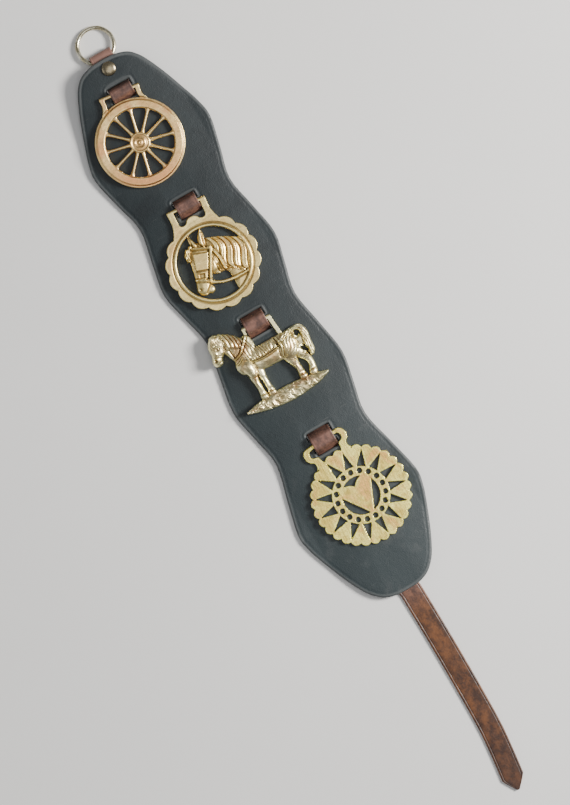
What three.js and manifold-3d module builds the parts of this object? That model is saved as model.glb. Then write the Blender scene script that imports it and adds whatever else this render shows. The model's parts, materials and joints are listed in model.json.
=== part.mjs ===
// A horse-brass martingale: a wavy leather backing with four brasses, each hung on a loop of one
// strap that weaves through the backing, is folded round a ring at the top and ends in a tail.
// Millimetres. It lies face up on z = 0, the ring towards +Y and the tail towards -Y.
import * as THREE from 'three';
import { mergeVertices } from 'three/addons/utils/BufferGeometryUtils.js';
import Module from 'manifold-3d';

const wasm = await Module();
wasm.setup();

// ---------------------------------------------------------------- driving dimensions
const GAP = 0.35;                 // air kept between pieces that touch
const WIDER_THAN_ALL = 70;        // half-width of a cutting bar that spans any piece
const UNDER_ALL = -5;             // heights that a cutting plate reaches beyond any piece
const OVER_ALL = 40;

const STRAP_X = 0.45;             // middle of the strap
const STRAP_HALF_WIDTH = 9.7;
const STRAP_THICKNESS = 2.2;
const STRAP_END_Y = 236;          // cut end behind the rivet
const TAIL_START_Y = -250;
const TAIL_HALF_WIDTH = 9.5;
const TAIL_SHOULDER_Y = -429;
const TAIL_TIP_Y = -440.5;

const BACKING_UNDERSIDE = 2.7;
const BACKING_THICKNESS = 3.4;
const BACKING_X = -0.75;          // middle of the backing
// [y, half-width] of the wavy outline, from the top end down
const BACKING_OUTLINE = [
  [253.5, 0], [252.8, 11], [249.5, 21.5], [244, 27.8], [236, 33], [220, 40.3], [202, 47],
  [186, 52.4], [170, 54.8], [144, 49.2], [117, 43], [89, 48], [60, 52.9], [34, 47.6], [8, 42.2],
  [-22, 47.2], [-53, 52], [-80, 47.4], [-107, 42.7], [-138, 49.7], [-167, 56.3], [-182, 54.6],
  [-198, 49.2], [-218, 41], [-233, 33.5], [-241, 27.6], [-247, 20.5], [-250.3, 11], [-251, 0],
];

const DROOP_START = 12;           // the backing's sides droop to the floor between these distances
const DROOP_END = 46;             // from its middle line

const LIFT_START_Y = 118;         // above here the backing curves up over the folded strap
const LIFT_END_Y = 253.5;
const LIFT_HEIGHT = 7.0;

const FOLD_Y = 256.55;            // centre of the fold round the ring
const FOLD_INNER_RADIUS = 2.25;

const LOOP_STEPS = 4;             // facets of each sloping side
const LOOP_INNER_HEIGHT = 4.6;    // clear height under a strap loop, above the backing
// each loop of the strap: where it stands, half of its flat top, length of its sloping side
const LOOPS = [
  { y: 222.5, top: 2.3, slope: 5.3 },
  { y: 114.9, top: 2.7, slope: 6.2 },
  { y: 2.6, top: 3.4, slope: 6.6 },
  { y: -108.6, top: 3.8, slope: 6.8 },
];

const RING_RADIUS = 15.3;
const RING_WIRE_RADIUS = 1.7;
const RING_X = 0.9;
const RING_Y = 267.3;
const RING_NEAR_Z = 4.65;         // height of the wire inside the fold

const RIVET_X = 0.8;
const RIVET_Y = 244.2;
const RIVET_CAP_RADIUS = 6;
const RIVET_SHANK_RADIUS = 1.5;

const CAST_HALF = 1.5;            // half-thickness of the cast plates, and the hanger bar's radius
const SHEET_HALF = 1.0;           // half-thickness of the stamped sheet

// each brass: its hinge line's middle, its turn in degrees, how far it reaches below the hinge
const WHEEL = { x: -1.9, y: 223.0, turn: -7, reach: 81.8, half: CAST_HALF };
const HEAD = { x: -1.0, y: 115.0, turn: -4, reach: 91.8, half: CAST_HALF };
const HORSE = { x: 1.5, y: 2.5, turn: -2, reach: 70.8, half: CAST_HALF };
const HEART = { x: -1.0, y: -108.0, turn: 6, reach: 98.6, half: SHEET_HALF };

const WHEEL_CENTRE = [0, -44.5];
const WHEEL_RADIUS = 37.3;
const WHEEL_OPENING = 28.5;       // radius inside the rim
const WHEEL_HUB_RADIUS = 8.3;
const WHEEL_SPOKES = 12;
const WHEEL_FIRST_SPOKE = 24;     // degrees
const HEAD_CENTRE = [0, -52];
const HEAD_SCALLOPS = 16;
const HEAD_RIM_TIP = 39.8;        // radius at the scallops' tips, and between them
const HEAD_RIM_CUSP = 37.2;
const HEAD_FIRST_CUSP = -77;      // degrees
const HEAD_OPENING = 30;          // radius inside the bead
// [x, y] of the neck's upper edge, from the ears back to the rim
const HEAD_CREST = [[1, 19.6], [3.5, 21.2], [11.8, 18.4], [19, 15.2], [27.5, 10.6]];
const MANE_LOCKS = 6;
const HEART_CENTRE = [0, -56.3];
const HEART_EDGE_TIP = 42.3;      // radius at the edge's points, and between them
const HEART_EDGE_CUSP = 39.8;
const HEART_RAYS = 15;
const HEART_RAY_FOOT = 24.3;      // the ray openings' wide ends and points, from the middle
const HEART_RAY_POINT = 38;
const HEART_RAY_HALF_WIDTH = 3.6;
const HEART_HOLES = 17;
const HEART_HOLE_CIRCLE = 20.4;
const HEART_HOLE_RADIUS = 2.15;
const HEART_OPENING = 15.9;       // circle that the openings round the heart stand in

const finish = (name, color, roughness, metalness) => {
  return new THREE.MeshStandardMaterial({ name, color, roughness, metalness });
};
const backingLeather = finish('backing_leather', 0x2b3134, 0.62, 0.0);
const strapLeather = finish('strap_leather', 0x6a4534, 0.55, 0.0);
const ringMetal = finish('ring_metal', 0xb5ab8c, 0.32, 1.0);
const rivetMetal = finish('rivet_metal', 0xc8c2ac, 0.3, 1.0);
const wheelBrass = finish('wheel_brass_metal', 0xcbb27c, 0.34, 1.0);
const headBrass = finish('head_brass_metal', 0xbfae80, 0.36, 1.0);
const horseBrass = finish('horse_brass_metal', 0xc0aa80, 0.36, 1.0);
const heartBrass = finish('heart_brass_metal', 0xd0b083, 0.33, 1.0);

// ---------------------------------------------------------------- solids from geometry
function solid(geometry) {
  const bare = geometry.clone();
  bare.deleteAttribute('normal');
  bare.deleteAttribute('uv');
  const merged = mergeVertices(bare, 1e-4);
  return new wasm.Manifold(new wasm.Mesh({
    numProp: 3,
    vertProperties: Float32Array.from(merged.attributes.position.array),
    triVerts: Uint32Array.from(merged.index.array),
  }));
}

function geometryOf(manifold) {
  const mesh = manifold.getMesh();
  const geometry = new THREE.BufferGeometry();
  geometry.setAttribute('position', new THREE.BufferAttribute(mesh.vertProperties, 3));
  geometry.setIndex(new THREE.BufferAttribute(mesh.triVerts, 1));
  geometry.computeVertexNormals();
  return geometry;
}

const joined = (solids) => solids.reduce((sum, next) => sum.add(next));

// A flat plan shape made into a plate from z = low to z = high.
function plate(shape, low, high, curveSegments = 6) {
  const options = { depth: high - low, bevelEnabled: false, curveSegments };
  return solid(new THREE.ExtrudeGeometry(shape, options).translate(0, 0, low));
}

// A side profile in (y, z) made into a bar that spans x = -half to x = +half.
function crossBar(profile, half, curveSegments = 8) {
  const options = { depth: 2 * half, bevelEnabled: false, curveSegments };
  const geometry = new THREE.ExtrudeGeometry(profile, options).translate(0, 0, -half);
  const axes = new THREE.Matrix4().makeBasis(
    new THREE.Vector3(0, 1, 0), new THREE.Vector3(0, 0, 1), new THREE.Vector3(1, 0, 0));
  return solid(geometry.applyMatrix4(axes));
}

// A profile of [radius, z] points turned about the vertical line through [x, y].
function turned(profile, segments, [x, y] = [0, 0]) {
  const points = profile.map(([r, z]) => new THREE.Vector2(r, z));
  return solid(new THREE.LatheGeometry(points, segments).rotateX(Math.PI / 2).translate(x, y, 0));
}

const shapeOf = (points) => new THREE.Shape(points.map(([x, y]) => new THREE.Vector2(x, y)));

function disc(x, y, radiusX, radiusY = radiusX, turn = 0) {
  const shape = new THREE.Shape();
  shape.absellipse(x, y, radiusX, radiusY, 0, 2 * Math.PI, false, turn);
  return shape;
}

// A mesh through rings of the same number of points, closed by a fan at each end.
function loft(rings) {
  const count = rings[0].length;
  const positions = rings.flat(2);
  const index = [];
  for (let i = 0; i + 1 < rings.length; i += 1) {
    for (let k = 0; k < count; k += 1) {
      const a = i * count + k;
      const b = i * count + (k + 1) % count;
      index.push(a, a + count, b, b, a + count, b + count);
    }
  }
  const last = (rings.length - 1) * count;
  for (let k = 1; k + 1 < count; k += 1) {
    index.push(0, k, k + 1);
    index.push(last, last + k + 1, last + k);
  }
  const geometry = new THREE.BufferGeometry();
  geometry.setAttribute('position', new THREE.Float32BufferAttribute(positions, 3));
  geometry.setIndex(index);
  return solid(geometry);
}

// A domed limb of cast metal. Its middle line runs through [x, y, half-width] stations. Its sides
// rise from the flat back to the edge, and its crown stands crest above the edge.
function limb(stations, edge, crest, { back = -CAST_HALF, dome = 2 } = {}) {
  const middle = new THREE.CatmullRomCurve3(
    stations.map(([x, y, r]) => new THREE.Vector3(x, y, r)), false, 'catmullrom', 0.5);
  const spans = stations.length - 1;
  const line = [];
  for (let i = 0; i <= spans; i += 1) {
    const point = middle.getPoint(i / spans);
    const along = middle.getTangent(i / spans);
    const length = Math.hypot(along.x, along.y);
    line.push({ x: point.x, y: point.y, r: point.z, dx: along.x / length, dy: along.y / length });
  }
  const endAngle = THREE.MathUtils.degToRad(72);
  const rounded = (station, sign) => {
    const ahead = sign * station.r * Math.sin(endAngle);
    return {
      ...station,
      x: station.x + station.dx * ahead,
      y: station.y + station.dy * ahead,
      r: station.r * Math.cos(endAngle),
      share: Math.cos(endAngle),
    };
  };
  const all = [rounded(line[0], -1), ...line, rounded(line.at(-1), 1)];
  return loft(all.map(({ x, y, r, dx, dy, share = 1 }) => {
    const across = [[-r, back], [-r, edge]];
    for (let k = 1; k <= dome; k += 1) {
      const angle = Math.PI * k / (dome + 1);
      across.push([-r * Math.cos(angle), edge + crest * share * Math.sin(angle)]);
    }
    across.push([r, edge], [r, back]);
    return across.map(([side, z]) => [x - dy * side, y + dx * side, z]);
  }));
}

// A raised band with bevelled edges, such as a bridle strap or a lock of hair, whose middle line
// runs through [x, y, half-width] stations.
function ridge(stations, base, top) {
  const rings = stations.map(([x, y, r], i) => {
    const [x0, y0] = stations[Math.max(0, i - 1)];
    const [x1, y1] = stations[Math.min(stations.length - 1, i + 1)];
    const length = Math.hypot(x1 - x0, y1 - y0);
    const across = [[-r, base], [-0.5 * r, top], [0.5 * r, top], [r, base]];
    return across.map(([side, z]) => {
      return [x - (y1 - y0) / length * side, y + (x1 - x0) / length * side, z];
    });
  });
  return loft(rings);
}

// ---------------------------------------------------------------- backing and strap
function lift(y) {
  const share = Math.max(0, (y - LIFT_START_Y) / (LIFT_END_Y - LIFT_START_Y));
  return LIFT_HEIGHT * share * share;
}

const liftSlope = (y) => (lift(y + 0.5) - lift(y - 0.5));
const backingTop = (y) => BACKING_UNDERSIDE + BACKING_THICKNESS + lift(y);

// How far the backing has sunk at x, beside the strap that runs under its middle.
function droop(x) {
  const share = (Math.abs(x - BACKING_X) - DROOP_START) / (DROOP_END - DROOP_START);
  return BACKING_UNDERSIDE * THREE.MathUtils.clamp(share, 0, 1) ** 1.5;
}

// Height of the strap's middle surface: along the floor, up and over each hanger bar.
function strapHeight(y) {
  const low = STRAP_THICKNESS / 2;
  const high = BACKING_UNDERSIDE + BACKING_THICKNESS + LOOP_INNER_HEIGHT + STRAP_THICKNESS / 2;
  let height = low + lift(y);
  for (const loop of LOOPS) {
    const away = (Math.abs(y - loop.y) - loop.top) / loop.slope;
    const share = away <= 0 ? 1 : away >= 1 ? 0 : 0.5 + 0.5 * Math.cos(Math.PI * away);
    height += (high - low) * share;
  }
  return height;
}

// The strap's middle line, as [y, z] from the cut end, round the fold and down to the tail.
function strapLine() {
  const line = [];
  const low = STRAP_THICKNESS / 2;
  const foldRadius = FOLD_INNER_RADIUS + STRAP_THICKNESS / 2;
  const under = STRAP_THICKNESS + GAP;
  const pinchStart = RIVET_Y + 2.7;
  const pinchEnd = 251.2;
  for (const y of [STRAP_END_Y, (STRAP_END_Y + pinchStart) / 2]) {
    line.push([y, strapHeight(y) - under]);
  }
  for (let i = 0; i <= 5; i += 1) {
    const share = 0.5 + 0.5 * Math.cos(Math.PI * i / 5);
    const y = pinchStart + (pinchEnd - pinchStart) * i / 5;
    line.push([y, low + (strapHeight(pinchStart) - under - low) * share]);
  }
  for (let i = 0; i <= 6; i += 1) {
    const angle = -Math.PI / 2 + Math.PI * i / 6;
    line.push([FOLD_Y + foldRadius * Math.cos(angle), low + foldRadius * (1 + Math.sin(angle))]);
  }
  for (const y of [250, 246, 241, 236, 232]) {
    line.push([y, strapHeight(y)]);
  }
  for (const loop of LOOPS) {
    for (let side = 1; side >= -1; side -= 2) {
      for (let i = LOOP_STEPS; i >= 0; i -= 1) {
        const away = loop.top + loop.slope * (side > 0 ? i : LOOP_STEPS - i) / LOOP_STEPS;
        const y = loop.y + side * away;
        line.push([y, strapHeight(y)]);
      }
    }
    if (loop === LOOPS[0]) {
      for (const y of [200, 180, 160, 140]) {
        line.push([y, strapHeight(y)]);
      }
    }
  }
  line.push([TAIL_TIP_Y - 5, low]);
  return line;
}

// A band of even thickness about a middle line, as a side profile.
function bandProfile(line, thickness) {
  const near = [];
  const far = [];
  line.forEach(([y, z], i) => {
    const [y0, z0] = line[Math.max(0, i - 1)];
    const [y1, z1] = line[Math.min(line.length - 1, i + 1)];
    const length = Math.hypot(y1 - y0, z1 - z0);
    const side = [-(z1 - z0) / length * thickness / 2, (y1 - y0) / length * thickness / 2];
    near.push([y + side[0], z + side[1]]);
    far.push([y - side[0], z - side[1]]);
  });
  return shapeOf([...near, ...far.reverse()]);
}

function strapPlan(margin) {
  const half = STRAP_HALF_WIDTH + margin;
  const tail = new THREE.CatmullRomCurve3([
    [1.05, TAIL_START_Y], [2.0, -300], [2.1, -350], [1.4, -385], [-0.9, -410], [-3.2, TAIL_SHOULDER_Y],
  ].map(([x, y]) => new THREE.Vector3(x, y, 0)));
  const right = [];
  const left = [];
  for (let i = 0; i <= 8; i += 1) {
    const point = tail.getPoint(i / 8);
    const along = tail.getTangent(i / 8);
    right.push([point.x - along.y * TAIL_HALF_WIDTH, point.y + along.x * TAIL_HALF_WIDTH]);
    left.push([point.x + along.y * TAIL_HALF_WIDTH, point.y - along.x * TAIL_HALF_WIDTH]);
  }
  return shapeOf([
    [STRAP_X - half, 270], [STRAP_X - half, TAIL_START_Y + 6], ...left,
    [-5.4, TAIL_TIP_Y + 0.5], [-4.3, TAIL_TIP_Y], [-3.4, TAIL_TIP_Y + 0.6],
    ...right.reverse(), [STRAP_X + half, TAIL_START_Y + 6], [STRAP_X + half, 270],
  ]);
}

function strapBand(thickness, margin) {
  const band = crossBar(bandProfile(strapLine(), thickness), WIDER_THAN_ALL);
  return band.intersect(plate(strapPlan(margin), UNDER_ALL, OVER_ALL));
}

function backingSolid() {
  const outline = [];
  const side = new THREE.CatmullRomCurve3(
    BACKING_OUTLINE.map(([y, half]) => new THREE.Vector3(half, y, 0)), false, 'catmullrom', 0.5);
  const points = side.getPoints(2 * (BACKING_OUTLINE.length - 1));
  for (const { x, y } of points) {
    outline.push([BACKING_X + Math.max(0, x), y]);
  }
  for (const { x, y } of points.slice(1, -1).reverse()) {
    outline.push([BACKING_X - x, y]);
  }
  const across = [
    -WIDER_THAN_ALL, -DROOP_END, -29, -DROOP_START, DROOP_START, 29, DROOP_END, WIDER_THAN_ALL,
  ];
  const along = [-260, LIFT_START_Y, 141, 164, 187, 210, 233, 258];
  const columns = across.length - 1;
  const rows = along.length - 1;
  const slab = new THREE.BoxGeometry(columns, rows, BACKING_THICKNESS, columns, rows, 1);
  const corner = slab.attributes.position;
  for (let i = 0; i < corner.count; i += 1) {
    const x = BACKING_X + across[Math.round(corner.getX(i) + columns / 2)];
    const y = along[Math.round(corner.getY(i) + rows / 2)];
    const below = corner.getZ(i) > 0 ? 0 : BACKING_THICKNESS;
    corner.setXYZ(i, x, y, backingTop(y) - below - droop(x));
  }
  return solid(slab).intersect(plate(shapeOf(outline), UNDER_ALL, OVER_ALL));
}

// ---------------------------------------------------------------- ring and rivet
const ringTilt = Math.asin((RING_NEAR_Z - RING_WIRE_RADIUS) / (2 * RING_RADIUS));

function ringGeometry() {
  return geometryOf(solid(new THREE.TorusGeometry(RING_RADIUS, RING_WIRE_RADIUS, 6, 32)));
}

// The rivet stands on the backing's top face, at z = 0 here.
function rivetGeometry() {
  const cap = RIVET_CAP_RADIUS;
  const foot = -BACKING_THICKNESS - 0.7 - 2 * STRAP_THICKNESS - 2 * GAP;
  const profile = [
    [0, foot - 0.8], [2.1, foot - 0.8], [2.1, foot], [RIVET_SHANK_RADIUS, foot],
    [RIVET_SHANK_RADIUS, GAP], [cap, GAP], [cap, 0.9], [cap * 0.8, 1.9], [cap * 0.4, 2.5], [0, 2.7],
  ];
  return geometryOf(turned(profile, 14));
}

function rivetHole() {
  const radius = RIVET_SHANK_RADIUS + 0.4;
  return solid(new THREE.CylinderGeometry(radius, radius, OVER_ALL, 12)
    .rotateX(Math.PI / 2).rotateX(Math.atan(liftSlope(RIVET_Y)))
    .translate(RIVET_X, RIVET_Y, backingTop(RIVET_Y)));
}

// ---------------------------------------------------------------- hangers of the cast brasses
// The bar is round where the strap goes over it, and nothing beyond its middle stands further
// out than its own radius, so that the brass can turn in its loop.
function castHanger(outline, windowLeft, windowRight) {
  const r = CAST_HALF;
  const profile = new THREE.Shape();
  profile.moveTo(-WIDER_THAN_ALL, -r);
  profile.lineTo(0, -r);
  profile.absarc(0, 0, r, -Math.PI / 2, Math.PI / 2, false);
  profile.lineTo(-WIDER_THAN_ALL, r);
  const legs = plate(outline, -r, r, 3).intersect(crossBar(profile, WIDER_THAN_ALL, 6));
  const barSpace = shapeOf([
    [windowLeft, -r], [windowRight, -r], [windowRight, r + 1], [windowLeft, r + 1],
  ]);
  const bar = crossBar(disc(0, 0, r), (windowRight - windowLeft) / 2 + 0.5, 6)
    .translate([(windowLeft + windowRight) / 2, 0, 0]);
  return legs.subtract(plate(barSpace, -r - 1, r + 1)).add(bar);
}

// ---------------------------------------------------------------- wheel brass
function wheelSolid() {
  const r = WHEEL_RADIUS;
  const rim = turned([
    [WHEEL_OPENING, -CAST_HALF], [r, -CAST_HALF], [r, 0.4], [r - 1.7, 0.9], [r - 2.3, 2.2],
    [WHEEL_OPENING + 1.7, 2.2], [WHEEL_OPENING, 1.0], [WHEEL_OPENING, -CAST_HALF],
  ], 36, WHEEL_CENTRE);
  const hub = turned([
    [0, -CAST_HALF], [WHEEL_HUB_RADIUS, -CAST_HALF], [WHEEL_HUB_RADIUS, 1.0], [7.2, 2.0],
    [5.8, 1.1], [4.6, 1.1], [4.0, 2.4], [1.6, 2.6], [0, 1.8],
  ], 18, WHEEL_CENTRE);
  const spokes = [];
  for (let i = 0; i < WHEEL_SPOKES; i += 1) {
    const angle = THREE.MathUtils.degToRad(WHEEL_FIRST_SPOKE) + (2 * Math.PI * i) / WHEEL_SPOKES;
    const stations = [[WHEEL_HUB_RADIUS - 0.9, 2.6], [11.5, 1.4], [WHEEL_OPENING + 0.9, 1.9]];
    spokes.push(loft(stations.map(([out, half]) => {
      const across = [[-half, -CAST_HALF], [-half, 0.3], [0, 1.5], [half, 0.3], [half, -CAST_HALF]];
      return across.map(([side, z]) => [
        WHEEL_CENTRE[0] + out * Math.cos(angle) - side * Math.sin(angle),
        WHEEL_CENTRE[1] + out * Math.sin(angle) + side * Math.cos(angle),
        z,
      ]);
    })));
  }
  const outline = new THREE.Shape();
  outline.moveTo(-24, -16.6);
  outline.quadraticCurveTo(-17.6, -11.5, -17.3, -5);
  outline.lineTo(-17.8, 1.5);
  outline.lineTo(17.8, 1.5);
  outline.lineTo(17.3, -5);
  outline.quadraticCurveTo(17.6, -11.5, 24, -16.6);
  outline.lineTo(15.2, -12);
  outline.lineTo(13.7, -7);
  outline.lineTo(13.7, -CAST_HALF);
  outline.lineTo(-13.7, -CAST_HALF);
  outline.lineTo(-13.7, -7);
  outline.lineTo(-15.2, -12);
  return joined([rim, hub, ...spokes, castHanger(outline, -13.7, 13.7)]);
}

// ---------------------------------------------------------------- horse-head brass
function scallopedEdge(count, cusp, tip, firstCusp, steps) {
  const points = [];
  for (let i = 0; i < count * steps; i += 1) {
    const share = (i % steps) / steps;
    const angle = firstCusp + (2 * Math.PI * i) / (count * steps);
    const r = cusp + (tip - cusp) * Math.sin(Math.PI * share) ** 0.8;
    points.push([r * Math.cos(angle), r * Math.sin(angle)]);
  }
  return points;
}

// The neck and chest fill the right of the opening, from the crest down to the ring.
function neckPlate() {
  const shape = new THREE.Shape();
  shape.moveTo(-4, -8.5);
  shape.lineTo(-4, 12);
  for (const [x, y] of HEAD_CREST) {
    shape.lineTo(x, y);
  }
  shape.absarc(0, 0, HEAD_OPENING + 1, 0.36, -1.24, true);
  shape.lineTo(9.6, -26);
  shape.lineTo(9.1, -15);
  shape.quadraticCurveTo(8.6, -10.4, 5.5, -9.9);
  shape.lineTo(0.5, -10.2);
  return plate(shape, -CAST_HALF, 0.6);
}

// Locks of the mane: each leaves the crest and falls in a double wave towards the chest.
function maneLocks() {
  const locks = [];
  for (let i = 0; i < MANE_LOCKS; i += 1) {
    const x = 3.6 + 3.7 * i;
    const y = 20.2 - 1.6 * i - 0.06 * i * i;
    const length = 30 - 1.1 * i;
    const wave = [[0.0, 0], [3.4, 0.22], [0.9, 0.48], [2.6, 0.74], [0.6, 1]];
    locks.push(ridge(wave.map(([side, fall]) => {
      return [x + side + 0.5 * fall * i, y - 1.5 - length * fall, 1.6 - 0.5 * fall];
    }), 0.2, 2.6));
  }
  return locks;
}

function horseHeadFigure() {
  const figure = [
    neckPlate(),
    limb([[9, 6, 8], [15, -6, 11], [17, -16, 10]], 0.2, 1.4),
    limb([[-6, 9, 11.3], [-10.6, -1, 7.8], [-13.8, -9.5, 6.4], [-16, -16, 6.0]], 0.6, 3.0),
    limb([[-2, 3, 8.2], [-3.5, -1, 7.2]], 0.6, 3.0),
    limb([[-13, -16, 4.4], [-11.2, -19, 3.4]], 0.4, 1.9),
    limb([[-0.9, 16.5, 1.6], [-0.8, 22.5, 3.3], [1.7, 29.6, 1.2]], 0.4, 3.4),
    limb([[-8.0, 18.5, 2.4], [-9.3, 23.5, 1.7], [-10.0, 28.8, 0.8]], 0.2, 2.2),
    plate(shapeOf([[-13.2, 13.2], [1.0, 9.2], [-6.0, -3.6], [-15.8, -0.6]]), -CAST_HALF, 4.3),
    plate(shapeOf([[-13.6, -4.0], [-8.6, -5.6], [-7.0, -9.8], [-12.2, -9.0]]), -CAST_HALF, 3.9),
    ridge([[-13.6, 17.6, 1.7], [-6, 14.6, 1.7], [2.0, 10.0, 1.7]], 0, 4.9),
    ridge([[4.9, 11.2, 1.7], [-1.6, -1.2, 1.6], [-7.9, -13.0, 1.6]], 0, 5.0),
    ridge([[-19.2, -7.4, 1.5], [-12.6, -10.4, 1.5], [-7.2, -13.6, 1.5]], 0, 4.6),
    ridge([[4.6, 11, 1.6], [5.0, 1, 1.5], [4.4, -9.2, 1.3]], 0, 3.2),
    ridge([[5.8, 16, 1.8], [7.9, 4, 1.7], [8.4, -9, 1.6]], 0, 3.6),
    ridge([[-8.6, -12.8, 2.2], [1.2, -17.1, 1.5], [11.4, -19.0, 1.5], [28, -16, 1.5]], -CAST_HALF, 2.6),
  ];
  for (let i = 0; i < 4; i += 1) {
    const x = -11.8 - 2.2 * i;
    const y = 17.6 - 2.4 * i;
    figure.push(limb([[x, y, 1.7], [x - 3.2, y + 0.6, 1.2]], 1.4, 2.2, { dome: 1 }));
  }
  const inside = plate(disc(0, 0, HEAD_OPENING + 1.5), -CAST_HALF, OVER_ALL, 18);
  return joined([...figure, ...maneLocks()]).intersect(inside);
}

function headSolid() {
  const rim = shapeOf(scallopedEdge(
    HEAD_SCALLOPS, HEAD_RIM_CUSP, HEAD_RIM_TIP, THREE.MathUtils.degToRad(HEAD_FIRST_CUSP), 3));
  rim.holes.push(disc(0, 0, HEAD_OPENING + 1.5));
  const bead = turned([
    [HEAD_OPENING, -CAST_HALF], [33, -CAST_HALF], [33, 1.4], [31.5, 2.5], [HEAD_OPENING, 1.4],
    [HEAD_OPENING, -CAST_HALF],
  ], 36);
  const figure = joined([plate(rim, -CAST_HALF, 1.3, 18), bead, horseHeadFigure()])
    .translate([...HEAD_CENTRE, 0]);
  const outline = new THREE.Shape();
  outline.moveTo(-21.5, -22.2);
  outline.quadraticCurveTo(-17.8, -14, -17.2, -9);
  outline.lineTo(-17.6, 1.5);
  outline.lineTo(17.6, 1.5);
  outline.lineTo(17.2, -9);
  outline.quadraticCurveTo(17.8, -14, 21.5, -22.2);
  const window = new THREE.Path();
  window.moveTo(-12, -CAST_HALF);
  window.lineTo(-12, -10.5);
  window.quadraticCurveTo(-12, -14.2, -9, -14.2);
  window.quadraticCurveTo(-6, -14.2, -5, -11.5);
  window.quadraticCurveTo(-2.5, -9.6, 0, -9.6);
  window.quadraticCurveTo(2.5, -9.6, 5, -11.5);
  window.quadraticCurveTo(6, -14.2, 9, -14.2);
  window.quadraticCurveTo(12, -14.2, 12, -10.5);
  window.lineTo(12, -CAST_HALF);
  outline.holes.push(window);
  return figure.add(castHanger(outline, -12, 12));
}

// ---------------------------------------------------------------- standing-horse brass
function standingHorseSolid() {
  const body = [
    limb([[-23, -26.5, 9.6], [-8.5, -27.3, 10], [12, -27, 10.4]], 1.6, 3.6),
    limb([[-21, -18, 10.2], [-27.7, -7, 8.8], [-34.5, -0.5, 7.2]], 1.6, 3.6),
    limb([[-15.5, -9.5, 5.2], [-15.2, -15, 5.2]], 1.2, 2.4),
    limb([[-38, -1, 8.3], [-41.5, -7.5, 6.3], [-43.3, -13.2, 4.6]], 1.8, 5.0),
    limb([[-23.5, -28, 6.4], [-22.2, -36, 4.6]], 1.6, 5.2),
    limb([[13.5, -26, 8.8], [14.5, -33, 7.4]], 1.6, 5.2),
    limb([[-22.5, -36, 4.8], [-23.2, -43, 3.0], [-22.4, -50, 2.8], [-22.6, -57, 3.6]], 1.4, 3.0),
    limb([[-16.8, -36, 4.4], [-16.0, -43, 2.7], [-15.6, -50, 2.5], [-15.2, -57, 3.4]], 1.0, 2.6),
    limb([[10.5, -33, 6.8], [12, -42, 4.2], [13.4, -49, 2.8], [13.8, -57, 3.5]], 1.4, 3.2),
    limb([[19, -35, 6.2], [23.2, -43.5, 3.6], [24.6, -50, 2.8], [22.8, -57.5, 3.6]], 1.0, 2.8),
    limb([[17, -19.5, 2.8], [23, -18.4, 2.2], [28.5, -19.2, 2.7], [30.8, -24.5, 3.1],
      [29.8, -33, 3.3], [29.6, -40, 3.2], [28.8, -43.5, 2.0]], 1.2, 3.4),
    limb([[20, -24, 4.6], [26, -30, 4.0]], 1.0, 1.2),
    limb([[-41, -63, 1.3], [-30, -63.3, 4.2], [-17, -63.8, 6], [-4, -64, 6.8], [9, -63.8, 6.2],
      [22, -63.4, 4.5], [32.6, -62.8, 1.5]], 1.8, 2.2),
  ];
  const harness = [
    ridge([[-19.2, -8.5, 1.4], [-25.5, -16.6, 1.5], [-32.0, -19.2, 1.4]], 2, 6.2),
    ridge([[-16.8, -12.2, 1.4], [-23.8, -21.0, 1.5], [-32.2, -23.8, 1.4]], 2, 6.4),
    ridge([[-17, -27, 1.3], [-6, -27.6, 1.3], [6.6, -26.4, 1.3]], 3, 6.0),
    ridge([[5.0, -17.6, 1.4], [7.6, -25, 1.4], [5.4, -34, 1.4]], 2, 6.6),
    limb([[-20.6, -31.0, 2.6], [-20.2, -31.6, 2.6]], 5.6, 1.6, { back: 2 }),
    limb([[-41, 4.8, 1.4], [-42.4, 6.8, 0.9]], 3.6, 2.0, { back: 2, dome: 1 }),
    limb([[-35.4, 5.2, 1.4], [-34.6, 7.2, 0.9]], 3.6, 2.0, { back: 2, dome: 1 }),
  ];
  for (let i = 0; i < 4; i += 1) {
    const x = -31.5 + 4.1 * i;
    const y = 3.6 - 3.3 * i;
    harness.push(ridge([[x, y, 1.5], [x - 0.4, y - 5, 1.6], [x - 3.6, y - 9.5, 1.3]], 2, 6.2));
  }
  const outline = new THREE.Shape();
  outline.moveTo(11.6, -20);
  outline.lineTo(9.2, -1);
  outline.lineTo(9.2, -CAST_HALF);
  outline.lineTo(-11.4, -CAST_HALF);
  outline.lineTo(-11.6, -12);
  outline.lineTo(-15, -12);
  outline.lineTo(-13.8, 1.5);
  outline.lineTo(12.4, 1.5);
  outline.lineTo(15, -20);
  const gaps = [
    disc(-19.1, -50, 0.9, 4.6), disc(18.4, -50.2, 2.0, 4.6, 0.06),
    disc(24.6, -23.4, 1.7, 2.1, 0.2), disc(24.9, -37.2, 1.3, 3.4, 0.7),
  ].map((gap) => plate(gap, UNDER_ALL, OVER_ALL, 5));
  return joined([...body, ...harness, castHanger(outline, -11.4, 9.2)]).subtract(joined(gaps));
}

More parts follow.
